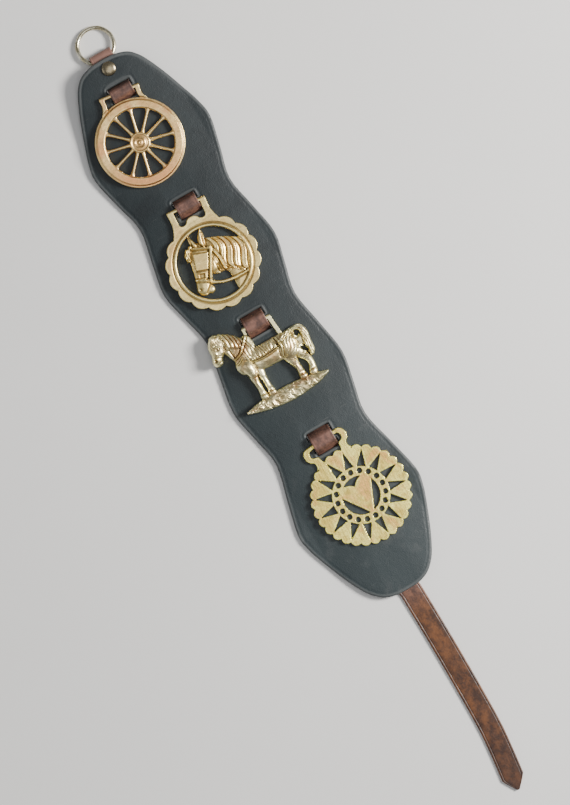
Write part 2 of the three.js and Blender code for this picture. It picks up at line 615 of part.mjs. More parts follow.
// ---------------------------------------------------------------- heart brass
function heartPlateShape() {
  const around = (r, angle) => [r * Math.cos(angle), r * Math.sin(angle)];
  const down = -Math.PI / 2;
  const shape = shapeOf(scallopedEdge(2 * HEART_RAYS, HEART_EDGE_CUSP, HEART_EDGE_TIP, down, 2));
  for (let i = 0; i < HEART_RAYS; i += 1) {
    const angle = down + (2 * Math.PI * i) / HEART_RAYS;
    const spread = Math.asin(HEART_RAY_HALF_WIDTH / HEART_RAY_FOOT);
    shape.holes.push(shapeOf([
      around(HEART_RAY_FOOT, angle - spread),
      around(HEART_RAY_FOOT, angle + spread),
      around(HEART_RAY_POINT, angle),
    ]));
  }
  for (let i = 0; i < HEART_HOLES; i += 1) {
    const [x, y] = around(HEART_HOLE_CIRCLE, down + (2 * Math.PI * i) / HEART_HOLES);
    const hole = disc(x, y, HEART_HOLE_RADIUS).getPoints(4);
    shape.holes.push(shapeOf(hole.map((point) => [point.x, point.y])));
  }
  const r = HEART_OPENING;
  const cleft = new THREE.Path();
  cleft.absarc(0, 0, r, 2.12, 1.02, true);
  cleft.quadraticCurveTo(2.4, 12.6, 0, 8.8);
  cleft.quadraticCurveTo(-2.4, 12.6, -8.3, 13.56);
  const right = new THREE.Path();
  right.absarc(0, 0, r, 0.41, -1.44, true);
  right.lineTo(14.58, 6.34);
  const left = new THREE.Path();
  left.absarc(0, 0, r, Math.PI - 0.41, Math.PI + 1.44, false);
  left.lineTo(-14.58, 6.34);
  shape.holes.push(cleft, right, left);
  return shape;
}

function heartSolid() {
  const half = SHEET_HALF;
  const disk = plate(heartPlateShape(), -half, half, 8).translate([...HEART_CENTRE, 0]);
  const hanger = new THREE.Shape();
  hanger.moveTo(17.6, -19.2);
  hanger.quadraticCurveTo(14.2, -15, 16.6, -12.4);
  hanger.quadraticCurveTo(20.3, -10.4, 20.3, -6);
  hanger.quadraticCurveTo(20.3, 1, 13.3, 1);
  hanger.lineTo(-13.3, 1);
  hanger.quadraticCurveTo(-20.3, 1, -20.3, -6);
  hanger.quadraticCurveTo(-20.3, -10.4, -16.6, -12.4);
  hanger.quadraticCurveTo(-14.2, -15, -17.6, -19.2);
  hanger.lineTo(-7.4, -17.4);
  hanger.quadraticCurveTo(-10.2, -14.6, -9.8, -12);
  hanger.quadraticCurveTo(-9.6, -10.4, -11.6, -9.5);
  hanger.absarc(-11.6, -6, 3.5, -Math.PI / 2, -3 * Math.PI / 2, true);
  hanger.lineTo(11.9, -2.5);
  hanger.absarc(11.9, -6, 3.5, Math.PI / 2, -Math.PI / 2, true);
  hanger.quadraticCurveTo(9.6, -10.4, 9.8, -12);
  hanger.quadraticCurveTo(10.2, -14.6, 7.4, -17.4);
  const profile = new THREE.Shape();
  profile.moveTo(-2 * WIDER_THAN_ALL, -half);
  profile.lineTo(0, -half);
  profile.absarc(0, 0, half, -Math.PI / 2, Math.PI / 2, false);
  profile.lineTo(-2 * WIDER_THAN_ALL, half);
  return disk.add(plate(hanger, -half, half, 4).intersect(crossBar(profile, WIDER_THAN_ALL, 3)));
}

// ---------------------------------------------------------------- the whole martingale
function named(name, geometry, material) {
  const mesh = new THREE.Mesh(geometry, material);
  mesh.name = name;
  return mesh;
}

// Lays a brass flat on the backing, turned about its hinge line's middle.
function laid(mesh, place) {
  const foot = place.y - place.reach;
  const head = place.y + CAST_HALF;
  const slope = (backingTop(head) - backingTop(foot)) / (head - foot);
  const rest = backingTop(foot) + slope * (place.y - foot) + GAP + place.half;
  mesh.position.set(place.x, place.y, rest);
  mesh.rotation.set(Math.atan(slope), 0, THREE.MathUtils.degToRad(place.turn));
  return mesh;
}

const strapSolid = strapBand(STRAP_THICKNESS, 0).subtract(rivetHole());
const channel = strapBand(STRAP_THICKNESS + 2 * GAP, 0.9);
const backing = backingSolid().subtract(channel).subtract(rivetHole());

const ring = named('ring', ringGeometry(), ringMetal);
ring.position.set(RING_X, RING_Y, RING_WIRE_RADIUS + RING_RADIUS * Math.sin(ringTilt));
ring.rotation.x = -ringTilt;

const rivet = named('rivet', rivetGeometry(), rivetMetal);
rivet.position.set(RIVET_X, RIVET_Y, backingTop(RIVET_Y));
rivet.rotation.x = Math.atan(liftSlope(RIVET_Y));

const martingale = new THREE.Group();
martingale.add(
  named('backing', geometryOf(backing), backingLeather),
  named('strap', geometryOf(strapSolid), strapLeather),
  ring,
  rivet,
  laid(named('wheel_brass', geometryOf(wheelSolid()), wheelBrass), WHEEL),
  laid(named('horse_head_brass', geometryOf(headSolid()), headBrass), HEAD),
  laid(named('standing_horse_brass', geometryOf(standingHorseSolid()), horseBrass), HORSE),
  laid(named('heart_brass', geometryOf(heartSolid()), heartBrass), HEART),
);

// The origin is the middle of the underside of the whole martingale's box.
const box = new THREE.Box3().setFromObject(martingale, true);
martingale.position.set(-(box.min.x + box.max.x) / 2, -(box.min.y + box.max.y) / 2, -box.min.z);

const part = new THREE.Group();
part.add(martingale);

export default part;
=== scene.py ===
"""A horse-brass martingale lying on a pale floor: leather, ring, rivet and four brasses."""
import json
import math
import bpy
import numpy as np
from mathutils import Matrix, Vector


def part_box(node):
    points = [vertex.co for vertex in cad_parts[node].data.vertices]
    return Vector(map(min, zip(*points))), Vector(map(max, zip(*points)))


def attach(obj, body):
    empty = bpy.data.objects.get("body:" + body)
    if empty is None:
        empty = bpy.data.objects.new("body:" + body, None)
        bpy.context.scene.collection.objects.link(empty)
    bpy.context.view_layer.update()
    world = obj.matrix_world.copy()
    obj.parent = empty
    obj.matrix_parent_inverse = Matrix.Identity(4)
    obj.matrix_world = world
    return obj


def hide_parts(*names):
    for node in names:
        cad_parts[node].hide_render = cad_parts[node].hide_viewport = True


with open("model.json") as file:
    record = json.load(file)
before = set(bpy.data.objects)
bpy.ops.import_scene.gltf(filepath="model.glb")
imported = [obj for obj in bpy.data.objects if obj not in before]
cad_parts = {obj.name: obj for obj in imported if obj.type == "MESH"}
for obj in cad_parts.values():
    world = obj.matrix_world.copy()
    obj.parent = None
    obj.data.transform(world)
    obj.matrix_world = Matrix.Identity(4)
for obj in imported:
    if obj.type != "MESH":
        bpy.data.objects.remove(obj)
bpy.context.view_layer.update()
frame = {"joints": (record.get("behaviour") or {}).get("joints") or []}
MM = 0.001

# ---- plane geometry, in millimetres


def clamp(value):
    return np.clip(value, 0, 1)


def smooth_max(a, b, k):
    h = clamp(0.5 + 0.5 * (a - b) / k)
    return b * (1 - h) + a * h + k * h * (1 - h)


def smooth_min(a, b, k):
    return -smooth_max(-a, -b, k)


def dome(share):
    """A round section: 1 where the share is 0, falling to 0 where it is 1."""
    return np.sqrt(clamp(1 - share ** 2))


def to_segment(x, y, p, q):
    """Distance to the segment p q, and how far along it, 0 to 1."""
    dx, dy = q[0] - p[0], q[1] - p[1]
    t = clamp(((x - p[0]) * dx + (y - p[1]) * dy) / (dx * dx + dy * dy + 1e-12))
    return np.hypot(x - p[0] - t * dx, y - p[1] - t * dy), t


def curve(points, steps=6):
    """Catmull-Rom curve through points of any number of coordinates."""
    p = np.array(points, float)
    p = np.vstack([2 * p[0] - p[1], p, 2 * p[-1] - p[-2]])
    t = np.arange(steps)[:, None] / steps
    out = []
    for a, b, c, d in zip(p[:-3], p[1:-2], p[2:-1], p[3:]):
        out.append(0.5 * (2 * b + (c - a) * t + (2 * a - 5 * b + 4 * c - d) * t ** 2
                          + (3 * b - a - 3 * c + d) * t ** 3))
    return np.vstack([*out, p[-2][None]])


def path(start, *stretches):
    """Points from a start through straight stretches (x, y) and curved ones ((control), (end))."""
    t = np.linspace(0, 1, 9)[1:, None]
    points = [list(start)]
    for first, second in stretches:
        if np.isscalar(first):
            points.append([first, second])
        else:
            a, b, c = np.array(points[-1]), np.array(first), np.array(second)
            points += ((1 - t) ** 2 * a + 2 * t * (1 - t) * b + t ** 2 * c).tolist()
    return points


def arc(cx, cy, r, start, end, steps=16):
    angles = np.linspace(start, end, steps + 1)
    return [[cx + r * math.cos(a), cy + r * math.sin(a)] for a in angles]


def mirrored(points):
    """The points, then their mirror images across x = 0 in reverse order."""
    return [*points, *[[-px, py] for px, py in reversed(points)]]


def tapered(x, y, stations):
    """Depth inside a chain of [x, y, half-width] stations, and the half-width there."""
    depth = np.full(x.shape, -1e3)
    width = np.ones(x.shape)
    for p, q in zip(stations[:-1], stations[1:]):
        d, t = to_segment(x, y, p, q)
        r = p[2] + (q[2] - p[2]) * t
        nearer = r - d > depth
        depth = np.where(nearer, r - d, depth)
        width = np.where(nearer, r, width)
    return depth, width


def polygon(x, y, points):
    """Depth inside a polygon: the distance to its edge, below zero outside."""
    best = np.full(x.shape, 1e6)
    inside = np.zeros(x.shape, bool)
    for p, q in zip(points, [*points[1:], points[0]]):
        best = np.minimum(best, to_segment(x, y, p, q)[0])
        if p[1] != q[1]:
            crosses = (p[1] > y) != (q[1] > y)
            inside ^= crosses & (x < (q[0] - p[0]) * (y - p[1]) / (q[1] - p[1]) + p[0])
    return np.where(inside, best, -best)


def rounded_edge(depth, radius):
    """How far a rounded edge of that radius falls below the face, at a depth inside it."""
    return radius * (1 - dome(1 - clamp(depth / radius)))


def bump(distance, width):
    return np.exp(-(distance / width) ** 2)


def ripple(x, y, seed, scale):
    """Smooth wandering noise about 0, from a few seeded waves."""
    rng = np.random.default_rng(seed)
    total = np.zeros(np.shape(x))
    for _ in range(7):
        turn, phase = rng.uniform(0, 2 * math.pi, 2)
        k = rng.uniform(0.6, 1.7) / scale
        total += np.sin(k * (x * math.cos(turn) + y * math.sin(turn)) + phase)
    return total / 7


# ---- relief meshes
OUTSIDE_LEVEL = -2.2
LEAST_DEPTH = 1e-4
NEAREST_CUT = 0.06


def blurred(grid, radius):
    """Mean of a grid over a square of that radius, run twice."""
    width = 2 * radius + 1
    for axis in (0, 1, 0, 1):
        edges = [(radius + 1, radius) if a == axis else (0, 0) for a in (0, 1)]
        total = np.cumsum(np.pad(grid, edges, "edge"), axis)
        size = grid.shape[axis]
        above = np.take(total, range(width, width + size), axis)
        below = np.take(total, range(size), axis)
        grid = (above - below) / width
    return grid


def cell_faces(ring):
    """The part of each grid cell inside the outline, and the outline's stretch across it. A
    cell's ring holds vertex numbers of its corners and the crossings between them, or -1."""
    case = (ring[:, 0::2] >= 0) @ np.array([1, 2, 4, 8])
    faces, walls = [], []
    for kind in range(1, 16):
        cells = ring[case == kind]
        if not len(cells):
            continue
        held = [kind >> k & 1 for k in range(4)]
        use = []
        for k in range(4):
            if held[k]:
                use.append(2 * k)
            if held[k] != held[(k + 1) % 4]:
                use.append(2 * k + 1)
        faces.append(cells[:, use])
        for a, b in zip(use, [*use[1:], use[0]]):
            if a % 2 and b % 2:
                walls.append(cells[:, [a, b]])
    return faces, np.vstack(walls)


def slab_mesh(name, points, faces, walls):
    """A closed mesh: a front, the same faces turned over on the second half of the points as
    its back, and walls between the two."""
    count = len(points) // 2
    backs = [block[:, ::-1] + count for block in faces]
    quads = np.stack([walls[:, 1], walls[:, 0], walls[:, 0] + count, walls[:, 1] + count], -1)
    blocks = [*faces, *backs, quads]
    loops = np.concatenate([block.ravel() for block in blocks])
    sizes = np.concatenate([np.full(len(block), block.shape[1]) for block in blocks])
    mesh = bpy.data.meshes.new(name)
    mesh.vertices.add(2 * count)
    mesh.vertices.foreach_set("co", (points * MM).ravel())
    mesh.loops.add(len(loops))
    mesh.loops.foreach_set("vertex_index", loops.astype(np.int32))
    mesh.polygons.add(len(sizes))
    mesh.polygons.foreach_set("loop_start", (np.cumsum(sizes) - sizes).astype(np.int32))
    mesh.update(calc_edges=True)
    mesh.validate()
    return mesh


def relief(name, shape, box, step, hollow=1.1):
    """A closed mesh of a relief. shape(x, y) gives its depth inside the outline, its top and its
    back. The attribute worn runs from 0 in the hollows to 1 on what stands out."""
    xs = np.arange(box[0], box[2] + step, step)
    ys = np.arange(box[1], box[3] + step, step)
    gx, gy = np.meshgrid(xs, ys, indexing="ij")
    depth, top, _ = shape(gx, gy)
    depth = np.where(np.abs(depth) < LEAST_DEPTH, LEAST_DEPTH, depth)
    inside = depth > 0
    nx, ny = gx.shape
    level = np.where(inside, top, OUTSIDE_LEVEL)
    standing = level - blurred(level, max(1, round(hollow / step)))

    px, py = [gx[inside]], [gy[inside]]
    wear_and_highlight = [standing[inside]]
    count = int(inside.sum())
    node = np.full(gx.shape, -1)
    node[inside] = np.arange(count)

    def crossings(ax, ay, bx, by):
        """New vertices where the outline crosses the grid lines from a to b."""
        nonlocal count
        da, db = depth[ax, ay], depth[bx, by]
        cut = (da > 0) != (db > 0)
        ids = np.full(da.shape, -1)
        ids[cut] = count + np.arange(cut.sum())
        count += int(cut.sum())
        t = np.clip(da[cut] / (da[cut] - db[cut]), NEAREST_CUT, 1 - NEAREST_CUT)
        x0, y0, x1, y1 = gx[ax, ay][cut], gy[ax, ay][cut], gx[bx, by][cut], gy[bx, by][cut]
        px.append(x0 + (x1 - x0) * t)
        py.append(y0 + (y1 - y0) * t)
        wear_and_highlight.append(np.where(da[cut] > 0, standing[ax, ay][cut], standing[bx, by][cut]))
        return ids

    along_x = crossings(slice(0, nx - 1), slice(None), slice(1, nx), slice(None))
    along_y = crossings(slice(None), slice(0, ny - 1), slice(None), slice(1, ny))
    x, y = np.concatenate(px), np.concatenate(py)
    _, z_top, z_back = shape(x, y)

    corner = [node[:-1, :-1], node[1:, :-1], node[1:, 1:], node[:-1, 1:]]
    side = [along_x[:, :-1], along_y[1:, :], along_x[:, 1:], along_y[:-1, :]]
    ring = np.stack([s for pair in zip(corner, side) for s in pair], -1).reshape(-1, 8)
    points = np.stack([np.tile(x, 2), np.tile(y, 2), np.concatenate([z_top, z_back])], -1)
    mesh = slab_mesh(name, points, *cell_faces(ring))
    shown = clamp(0.5 + np.concatenate(wear_and_highlight) / (2 * hollow))
    add_values(mesh, "wear_and_highlight", np.concatenate([shown, np.full(count, 0.5)]))
    return mesh


def plain_mesh(name, points, faces):
    mesh = bpy.data.meshes.new(name)
    mesh.from_pydata((np.array(points) * MM).tolist(), [], faces)
    return mesh


def add_values(mesh, name, values):
    mesh.attributes.new(name, "FLOAT", "POINT").data.foreach_set("value", values.astype(np.float32))


def added(name, data):
    obj = bpy.data.objects.new(name, data)
    bpy.context.scene.collection.objects.link(obj)
    return obj


def placed(name, mesh, matrix, smooth_angle=38):
    obj = added(name, mesh)
    mesh.transform(matrix)
    mesh.polygons.foreach_set("use_smooth", np.ones(len(mesh.polygons), bool))
    mesh.set_sharp_from_angle(angle=math.radians(smooth_angle))
    return obj


# ---- brasses
# Each brass has its hinge line along x through its origin, and hangs towards -y.
BAR_RADIUS = 1.5
SHEET_HALF = 1.0
THINNEST = 0.25
STRAP_FOOT = 0.6
FAR_OUTSIDE = -5


def limb_relief(x, y, limbs, blend=0.6):
    """Depth and top of domed limbs: (stations, edge, crest)."""
    depth = np.full(x.shape, -1e3)
    top = np.full(x.shape, -1e3)
    for stations, edge, crest in limbs:
        d, r = tapered(x, y, curve(stations))
        depth = smooth_max(depth, d, blend)
        swell = edge + crest * dome(1 - clamp(d / r))
        top = np.where(d > -0.4, smooth_max(top, swell, blend), top)
    return depth, top


def laid_strap(x, y, top, stations, height):
    """A harness strap that lies over a relief, with softened edges."""
    d, _ = tapered(x, y, curve(stations))
    band = STRAP_FOOT + (height - STRAP_FOOT) * np.sqrt(clamp(d / 0.9))
    return d, np.where(d > 0, np.maximum(top, band), top - 0.4 * bump(d, 0.6))


def cast_bar(x, y, left, right):
    """Depth inside a round hanger bar that runs from left to right."""
    return np.minimum(BAR_RADIUS - np.abs(y), np.minimum(x - left, right - x))


def pitched(angle, count):
    """An angle measured from the nearest of so many equal spokes, rays or holes."""
    pitch = 2 * math.pi / count
    return (angle + pitch / 2) % pitch - pitch / 2


def bar_section(y, half):
    """Half-thickness of a hanger near its bar: round above the hinge line, flat below it."""
    return np.sqrt(np.clip(half ** 2 - np.clip(y, 0, None) ** 2, THINNEST ** 2, None))


def with_bar(y, top, near_bar):
    """Top and back of a casting whose bar is round at both."""
    top = np.where(near_bar, np.maximum(top, THINNEST), top)
    return top, np.where(near_bar, -bar_section(y, BAR_RADIUS), -BAR_RADIUS)


WHEEL_Y, WHEEL_RADIUS, WHEEL_OPENING = -44.5, 37.3, 28.5
WHEEL_SPOKES, SPOKE_TURN, WHEEL_HUB = 12, math.radians(24), 8.3


def wheel_shape(x, y):
    cy = y - WHEEL_Y
    r = np.hypot(x, cy)
    side = np.abs(r * np.sin(pitched(np.arctan2(cy, x) - SPOKE_TURN, WHEEL_SPOKES)))
    half = 1.25 + 1.1 * np.exp(-np.clip(r - 8.0, 0, None) / 1.4)
    half = half + 1.7 * np.exp(-np.clip(WHEEL_OPENING - r, 0, None) / 1.2)
    spokes = np.where(r < WHEEL_OPENING + 1, half - side, FAR_OUTSIDE)
    rim = np.minimum(WHEEL_RADIUS - r, r - WHEEL_OPENING)
    wheel = np.maximum(np.maximum(spokes, rim), WHEEL_HUB - r)

    # the hanger: two curved legs that carry the round bar over a slot
    leg = path((-24, -16.6), ((-17.6, -11.5), (-17.3, -5)), (-17.8, 1.5))
    legs = polygon(x, y, [*mirrored(leg), [15.2, -12], [-15.2, -12]])
    slot = smooth_min(13.7 - np.abs(x), -0.8 * BAR_RADIUS - y, 0.8)
    tie = np.maximum(smooth_min(legs, -slot, 0.6), cast_bar(x, y, -17.8, 17.8))
    crotch = polygon(x, y, mirrored([[-15.2, -12.2], [-13.7, -7], [-13.7, -1]]))
    tie = np.where(np.abs(y) < BAR_RADIUS, tie, np.minimum(tie, -crotch))
    tie = np.where(r > WHEEL_RADIUS - 1, tie, FAR_OUTSIDE)
    depth = np.maximum(wheel, tie)

    step = 1.55 * (1 / (1 + np.exp((r - WHEEL_RADIUS + 1.9) / 0.16)))
    rim_top = 0.65 + step - 1.0 * clamp((WHEEL_OPENING + 1.2 - r) / 1.2) ** 1.6
    rim_top = rim_top - 2.2 * np.clip(WHEEL_OPENING - r, 0, None) + 0.05 * ripple(x, cy, 4, 4)
    spoke_top = 0.1 + 1.5 * dome(side / half) - 1.4 * np.clip(r - WHEEL_OPENING, 0, None)
    spoke_top = spoke_top - 1.6 * np.clip(8.4 - r, 0, None)
    hub_top = 1.8 + 0.3 * bump(r - 7.5, 0.6) - 0.3 * bump(r - 6.3, 0.45) + 0.5 * bump(r - 4.1, 0.5)
    hub_top = hub_top - 0.25 * bump(r - 2.7, 0.6) + 0.5 * bump(r, 1.4) - 0.7 * bump(r, 0.5)
    hub_top = hub_top - 3 * np.clip(r - WHEEL_HUB, 0, None)
    top = smooth_max(smooth_max(rim_top, spoke_top, 0.3), hub_top, 0.3)
    on_tie = clamp((r - WHEEL_RADIUS + 0.2) / 1.4)
    top = top + (bar_section(y, BAR_RADIUS) - top) * on_tie
    round_off = np.where((r > WHEEL_OPENING) | (r < WHEEL_HUB), rounded_edge(depth, 0.6), 0)
    top = np.maximum(top - round_off + 0.04 * ripple(x, y, 3, 2.2), -0.6)
    return depth, *with_bar(y, top, (r > WHEEL_RADIUS) & (y > -BAR_RADIUS))


HEAD_Y, HEAD_OPENING, HEAD_SCALLOPS = -52, 30, 16
HEAD_CREST = [[1, 19.6], [3.5, 21.2], [11.8, 18.4], [19, 15.2], [27.5, 10.6]]
MANE_PITCH = 5.0


def scallops(x, y, count, cusp, tip, first):
    """Depth inside a scalloped edge."""
    share = ((np.arctan2(y, x) - first) / (2 * math.pi / count)) % 1
    edge = cusp + (tip - cusp) * np.sin(math.pi * share) ** 0.8
    return (edge - np.hypot(x, y)) * 0.92


def lumped(x, y, top, lumps):
    """Soft lumps, or dents where the amount is negative: (x, y, reach x, reach y, amount)."""
    for cx, cy, rx, ry, amount in lumps:
        top = top + amount * np.exp(-((x - cx) / rx) ** 2 - ((y - cy) / ry) ** 2)
    return top


def grooved(x, y, top, grooves):
    """Straight grooves: (from, to, depth, width)."""
    for start, end, amount, width in grooves:
        top = top - amount * bump(to_segment(x, y, start, end)[0], width)
    return top


def carved(phase, sharp=0.7):
    """Hair or carving in rows: 0 in the grooves, at whole numbers of phase, and 1 between them."""
    return np.abs(np.sin(math.pi * phase)) ** sharp


def cord(x, y, top, stations, rise, groove=0.4):
    """A raised line over a relief, with a groove along both its sides."""
    d, r = tapered(x, y, curve(stations, 5))
    return np.where(d > 0, top + rise * np.sqrt(clamp(d / r)), top - groove * bump(d, 0.55))


def mane(x, y):
    """Wavy locks that fall from the crest: the lock's number, and how far down it."""
    root = x - 2.0
    for _ in range(14):
        crest_y = np.interp(root, [p[0] for p in HEAD_CREST], [p[1] for p in HEAD_CREST])
        fall = (crest_y - y) / (29.0 + 0.28 * root)
        f = np.clip(fall, 0, 1.1)
        wave = 3.1 * np.sin(5.97 * f) + 2.2 * f + 3.4 * np.clip((f - 0.75) / 0.25, 0, 1.2)
        root = 0.5 * root + 0.5 * np.clip(x - wave, -2, 34)
    return (root - 6.6) / MANE_PITCH, fall


def ear(x, y, depth, top, stations, rise, hollow_line):
    """An ear that stands over the relief, hollowed along a line."""
    d, r = tapered(x, y, curve(stations))
    up = 0.5 + rise * dome(1 - clamp(d / r))
    up = up - 1.5 * bump(to_segment(x, y, *hollow_line)[0], 0.7)
    return smooth_max(depth, d, 0.3), np.where(d > 0, np.maximum(up, top - 0.8), top - 0.4 * bump(d, 0.5))


def head_figure(x, y):
    """The horse's head, its neck, mane and bridle: depth inside the outline, and top."""
    crest = [[-4, -8.5], [-4, 12], *HEAD_CREST, *arc(0, 0, HEAD_OPENING + 1, 0.36, -1.24, 24),
             [9.6, -26], *path((9.1, -15), ((8.6, -10.4), (5.5, -9.9))), [0.5, -10.2]]
    neck = polygon(x, y, crest)
    depth, top = limb_relief(x, y, [
        ([[-6, 9, 11.3], [-10.6, -1, 7.8], [-13.8, -9.5, 6.4], [-16, -16, 6.0]], 0.6, 3.0),
        ([[-2, 3, 8.2], [-3.5, -1, 7.2]], 0.6, 3.0),
        ([[-13, -16, 4.4], [-11.2, -19, 3.4]], 0.4, 2.1),
    ], 0.8)
    depth = smooth_max(neck, depth, 0.5)
    neck_top = 0.5 + 1.1 * np.sqrt(clamp(neck / 5)) + 0.05 * ripple(x, y, 15, 2.5)
    top = np.where(neck > 0, smooth_max(top, neck_top, 0.6), top)

    # the mane: broad locks, each of two strands, with finer hair on them
    lock, fall = mane(x, y)
    end = clamp((1.02 - fall - 0.05 * np.sin(5 * lock)) * 7) ** 0.7
    on_mane = (x > 4.8 - 0.24 * (y - 8)) & (lock > -0.75) & (fall > -0.05) & (end > 0) & (neck > 0)
    strands = 0.65 * carved(2 * lock, 0.6) + 0.12 * np.sin(7 * math.pi * lock)
    hair = 0.7 + end * (1.55 * carved(lock, 0.55) + strands)
    top = np.where(on_mane, np.maximum(top - 0.35, hair), top)

    top = np.where((x > -9) & (x < 3) & (y > 13.5), top + 0.35 * carved((x + 0.4 * y) / 1.7) - 0.2, top)
    depth, top = ear(x, y, depth, top, [[-8.0, 18.6, 2.5], [-9.3, 23.2, 2.0], [-10.1, 28.4, 0.8]], 2.6,
                     ((-9.9, 19.5), (-10.2, 26.5)))
    near_ear = [[-1.0, 15.6, 1.6], [-1.2, 19.5, 3.0], [-0.1, 23.6, 2.9], [1.1, 27.4, 1.6], [1.7, 29.9, 0.5]]
    depth, top = ear(x, y, depth, top, near_ear, 3.6, ((-0.4, 16.5), (1.5, 26.5)))

    # forelock: a clump of curls that stands forward of the brow
    clump = np.full(x.shape, -9.0)  # its depth: four lumps, joined softly
    for cx, cy, radius in ((-12.0, 18.5, 2.3), (-15.2, 16.6, 2.8), (-17.0, 13.6, 2.8), (-17.3, 10.3, 2.3)):
        clump = smooth_max(clump, radius - np.hypot(x - cx, y - cy), 0.8)
    spiral = np.arctan2(y - 9.0, x + 12.4) + 0.13 * np.hypot(x + 12.4, y - 9.0)
    curls = carved(3.0 * spiral, 0.5)
    tuft = 1.6 + 1.5 * np.sqrt(clamp(clump / 1.8)) + 1.1 * curls * clamp(clump / 0.8)
    depth = np.maximum(depth, clump)
    top = np.where(clump > 0, np.maximum(tuft, top - 0.5), top - 0.4 * bump(clump, 0.5))

    # bridle: blinker, the window under it, and the straps
    blinker = polygon(x, y, [[-12.6, 13.4], [0.4, 9.6], [-6.0, -3.4], [-15.9, -0.6]])
    plate = 3.9 - rounded_edge(blinker, 0.8) + 0.05 * ripple(x, y, 5, 3)
    top = np.where(blinker > 0, plate, top - 0.5 * bump(blinker, 0.7))
    window = polygon(x, y, [[-15.8, -2.2], [-8.6, -4.2], [-10.6, -9.8], [-17.2, -8.4]])
    top = np.where(window > 0, top + 0.45 - 1.4 * clamp((window - 0.9) / 0.7), top)
    for stations, height in (
        ([[-10.9, 17.3, 1.5], [-5.2, 15.2, 1.5], [1.4, 12.2, 1.5]], 4.5),
        ([[2.8, 9.0, 0.9], [2.2, 1.5, 0.9], [2.9, -8.8, 0.9]], 3.1),
        ([[3.6, 11.4, 1.7], [6.6, 3, 1.7], [7.6, -8.6, 1.5]], 3.9),
        ([[3.4, 11.8, 1.7], [-1.6, 1.6, 1.6], [-6.0, -8.0, 1.6], [-8.4, -13.0, 1.6]], 4.9),
        ([[-18.9, -7.6, 1.5], [-13.4, -9.9, 1.5], [-8.6, -12.6, 1.5]], 4.4),
        ([[-9.4, -12.6, 1.9], [-4.5, -15.6, 1.5], [2, -17.9, 1.5], [10, -18.9, 1.5], [20, -18.5, 1.4],
          [28, -17.4, 1.3]], 3.0),
    ):
        d, top = laid_strap(x, y, top, stations, height)
        depth = np.maximum(depth, d)
    top = grooved(x, y, top, (
        ((-10.9, 17.3), (0.6, 12.6), 0.4, 0.4), ((-18.4, -7.9), (-9.4, -12.1), 0.4, 0.35)))
    rosette = np.hypot(x - 2.7, y - 12.6)
    top = np.where(rosette < 2, np.maximum(top, 3.9 + 1.2 * dome(rosette / 2)), top)

    # muzzle: nostril, mouth and chin
    top = top - 1.5 * bump(np.hypot((x + 18.9) / 1.4, y + 16.0), 0.9)
    return depth, grooved(x, y, top, (
        ((-15.4, -20.6), (-9.6, -14.4), 1.1, 0.5), ((-21.0, -18.4), (-18.0, -21.6), 0.5, 0.4)))


def head_shape(x, y):
    cy = y - HEAD_Y
    r = np.hypot(x, cy)
    outer = scallops(x, cy, HEAD_SCALLOPS, 37.2, 39.8, math.radians(-77))
    rim = np.minimum(outer, r - HEAD_OPENING)
    figure, relief_top = head_figure(x, cy)
    figure = np.where(r < HEAD_OPENING + 1, figure, FAR_OUTSIDE)
    leg = path((-21.5, -22.2), ((-17.8, -14), (-17.2, -9)), (-17.6, 1.5))
    lobe = path((12, -1.2), (12, -10.5), ((12, -14.2), (9, -14.2)), ((6, -14.2), (5, -11.5)),
                ((2.5, -9.6), (0, -9.6)))
    legs = np.minimum(polygon(x, y, mirrored(leg)), -polygon(x, y, mirrored(lobe)))
    tie = np.where(outer < 1, np.maximum(legs, cast_bar(x, y, -17.6, 17.6)), FAR_OUTSIDE)
    depth = np.maximum(np.maximum(rim, figure), tie)

    bead = 0.7 + 1.8 * dome((r - 31.5) / 1.9)
    land = 1.3 - 0.5 * bump(r - 33.7, 0.6) + 0.06 * ripple(x, cy, 8, 3)
    rim_top = smooth_max(bead, land, 0.3)
    on_rim = clamp(0.5 + outer / 3)
    rim_top = bar_section(y, BAR_RADIUS) * (1 - on_rim) + rim_top * on_rim
    top = np.where(r > HEAD_OPENING, rim_top, relief_top)
    top = np.where((r > HEAD_OPENING - 0.8) & (r <= HEAD_OPENING), np.maximum(top, 0.7), top)
    top = np.maximum(top - rounded_edge(depth, 0.7), -0.7)
    return depth, *with_bar(y, top, (outer < -2) & (y > -BAR_RADIUS))


HORSE_TAIL = [[17, -19.5, 2.8], [23, -18.4, 2.2], [28.5, -19.2, 2.7], [30.8, -24.5, 3.1],
              [29.8, -33, 3.3], [29.6, -40, 3.2], [28.8, -43.5, 2.0]]


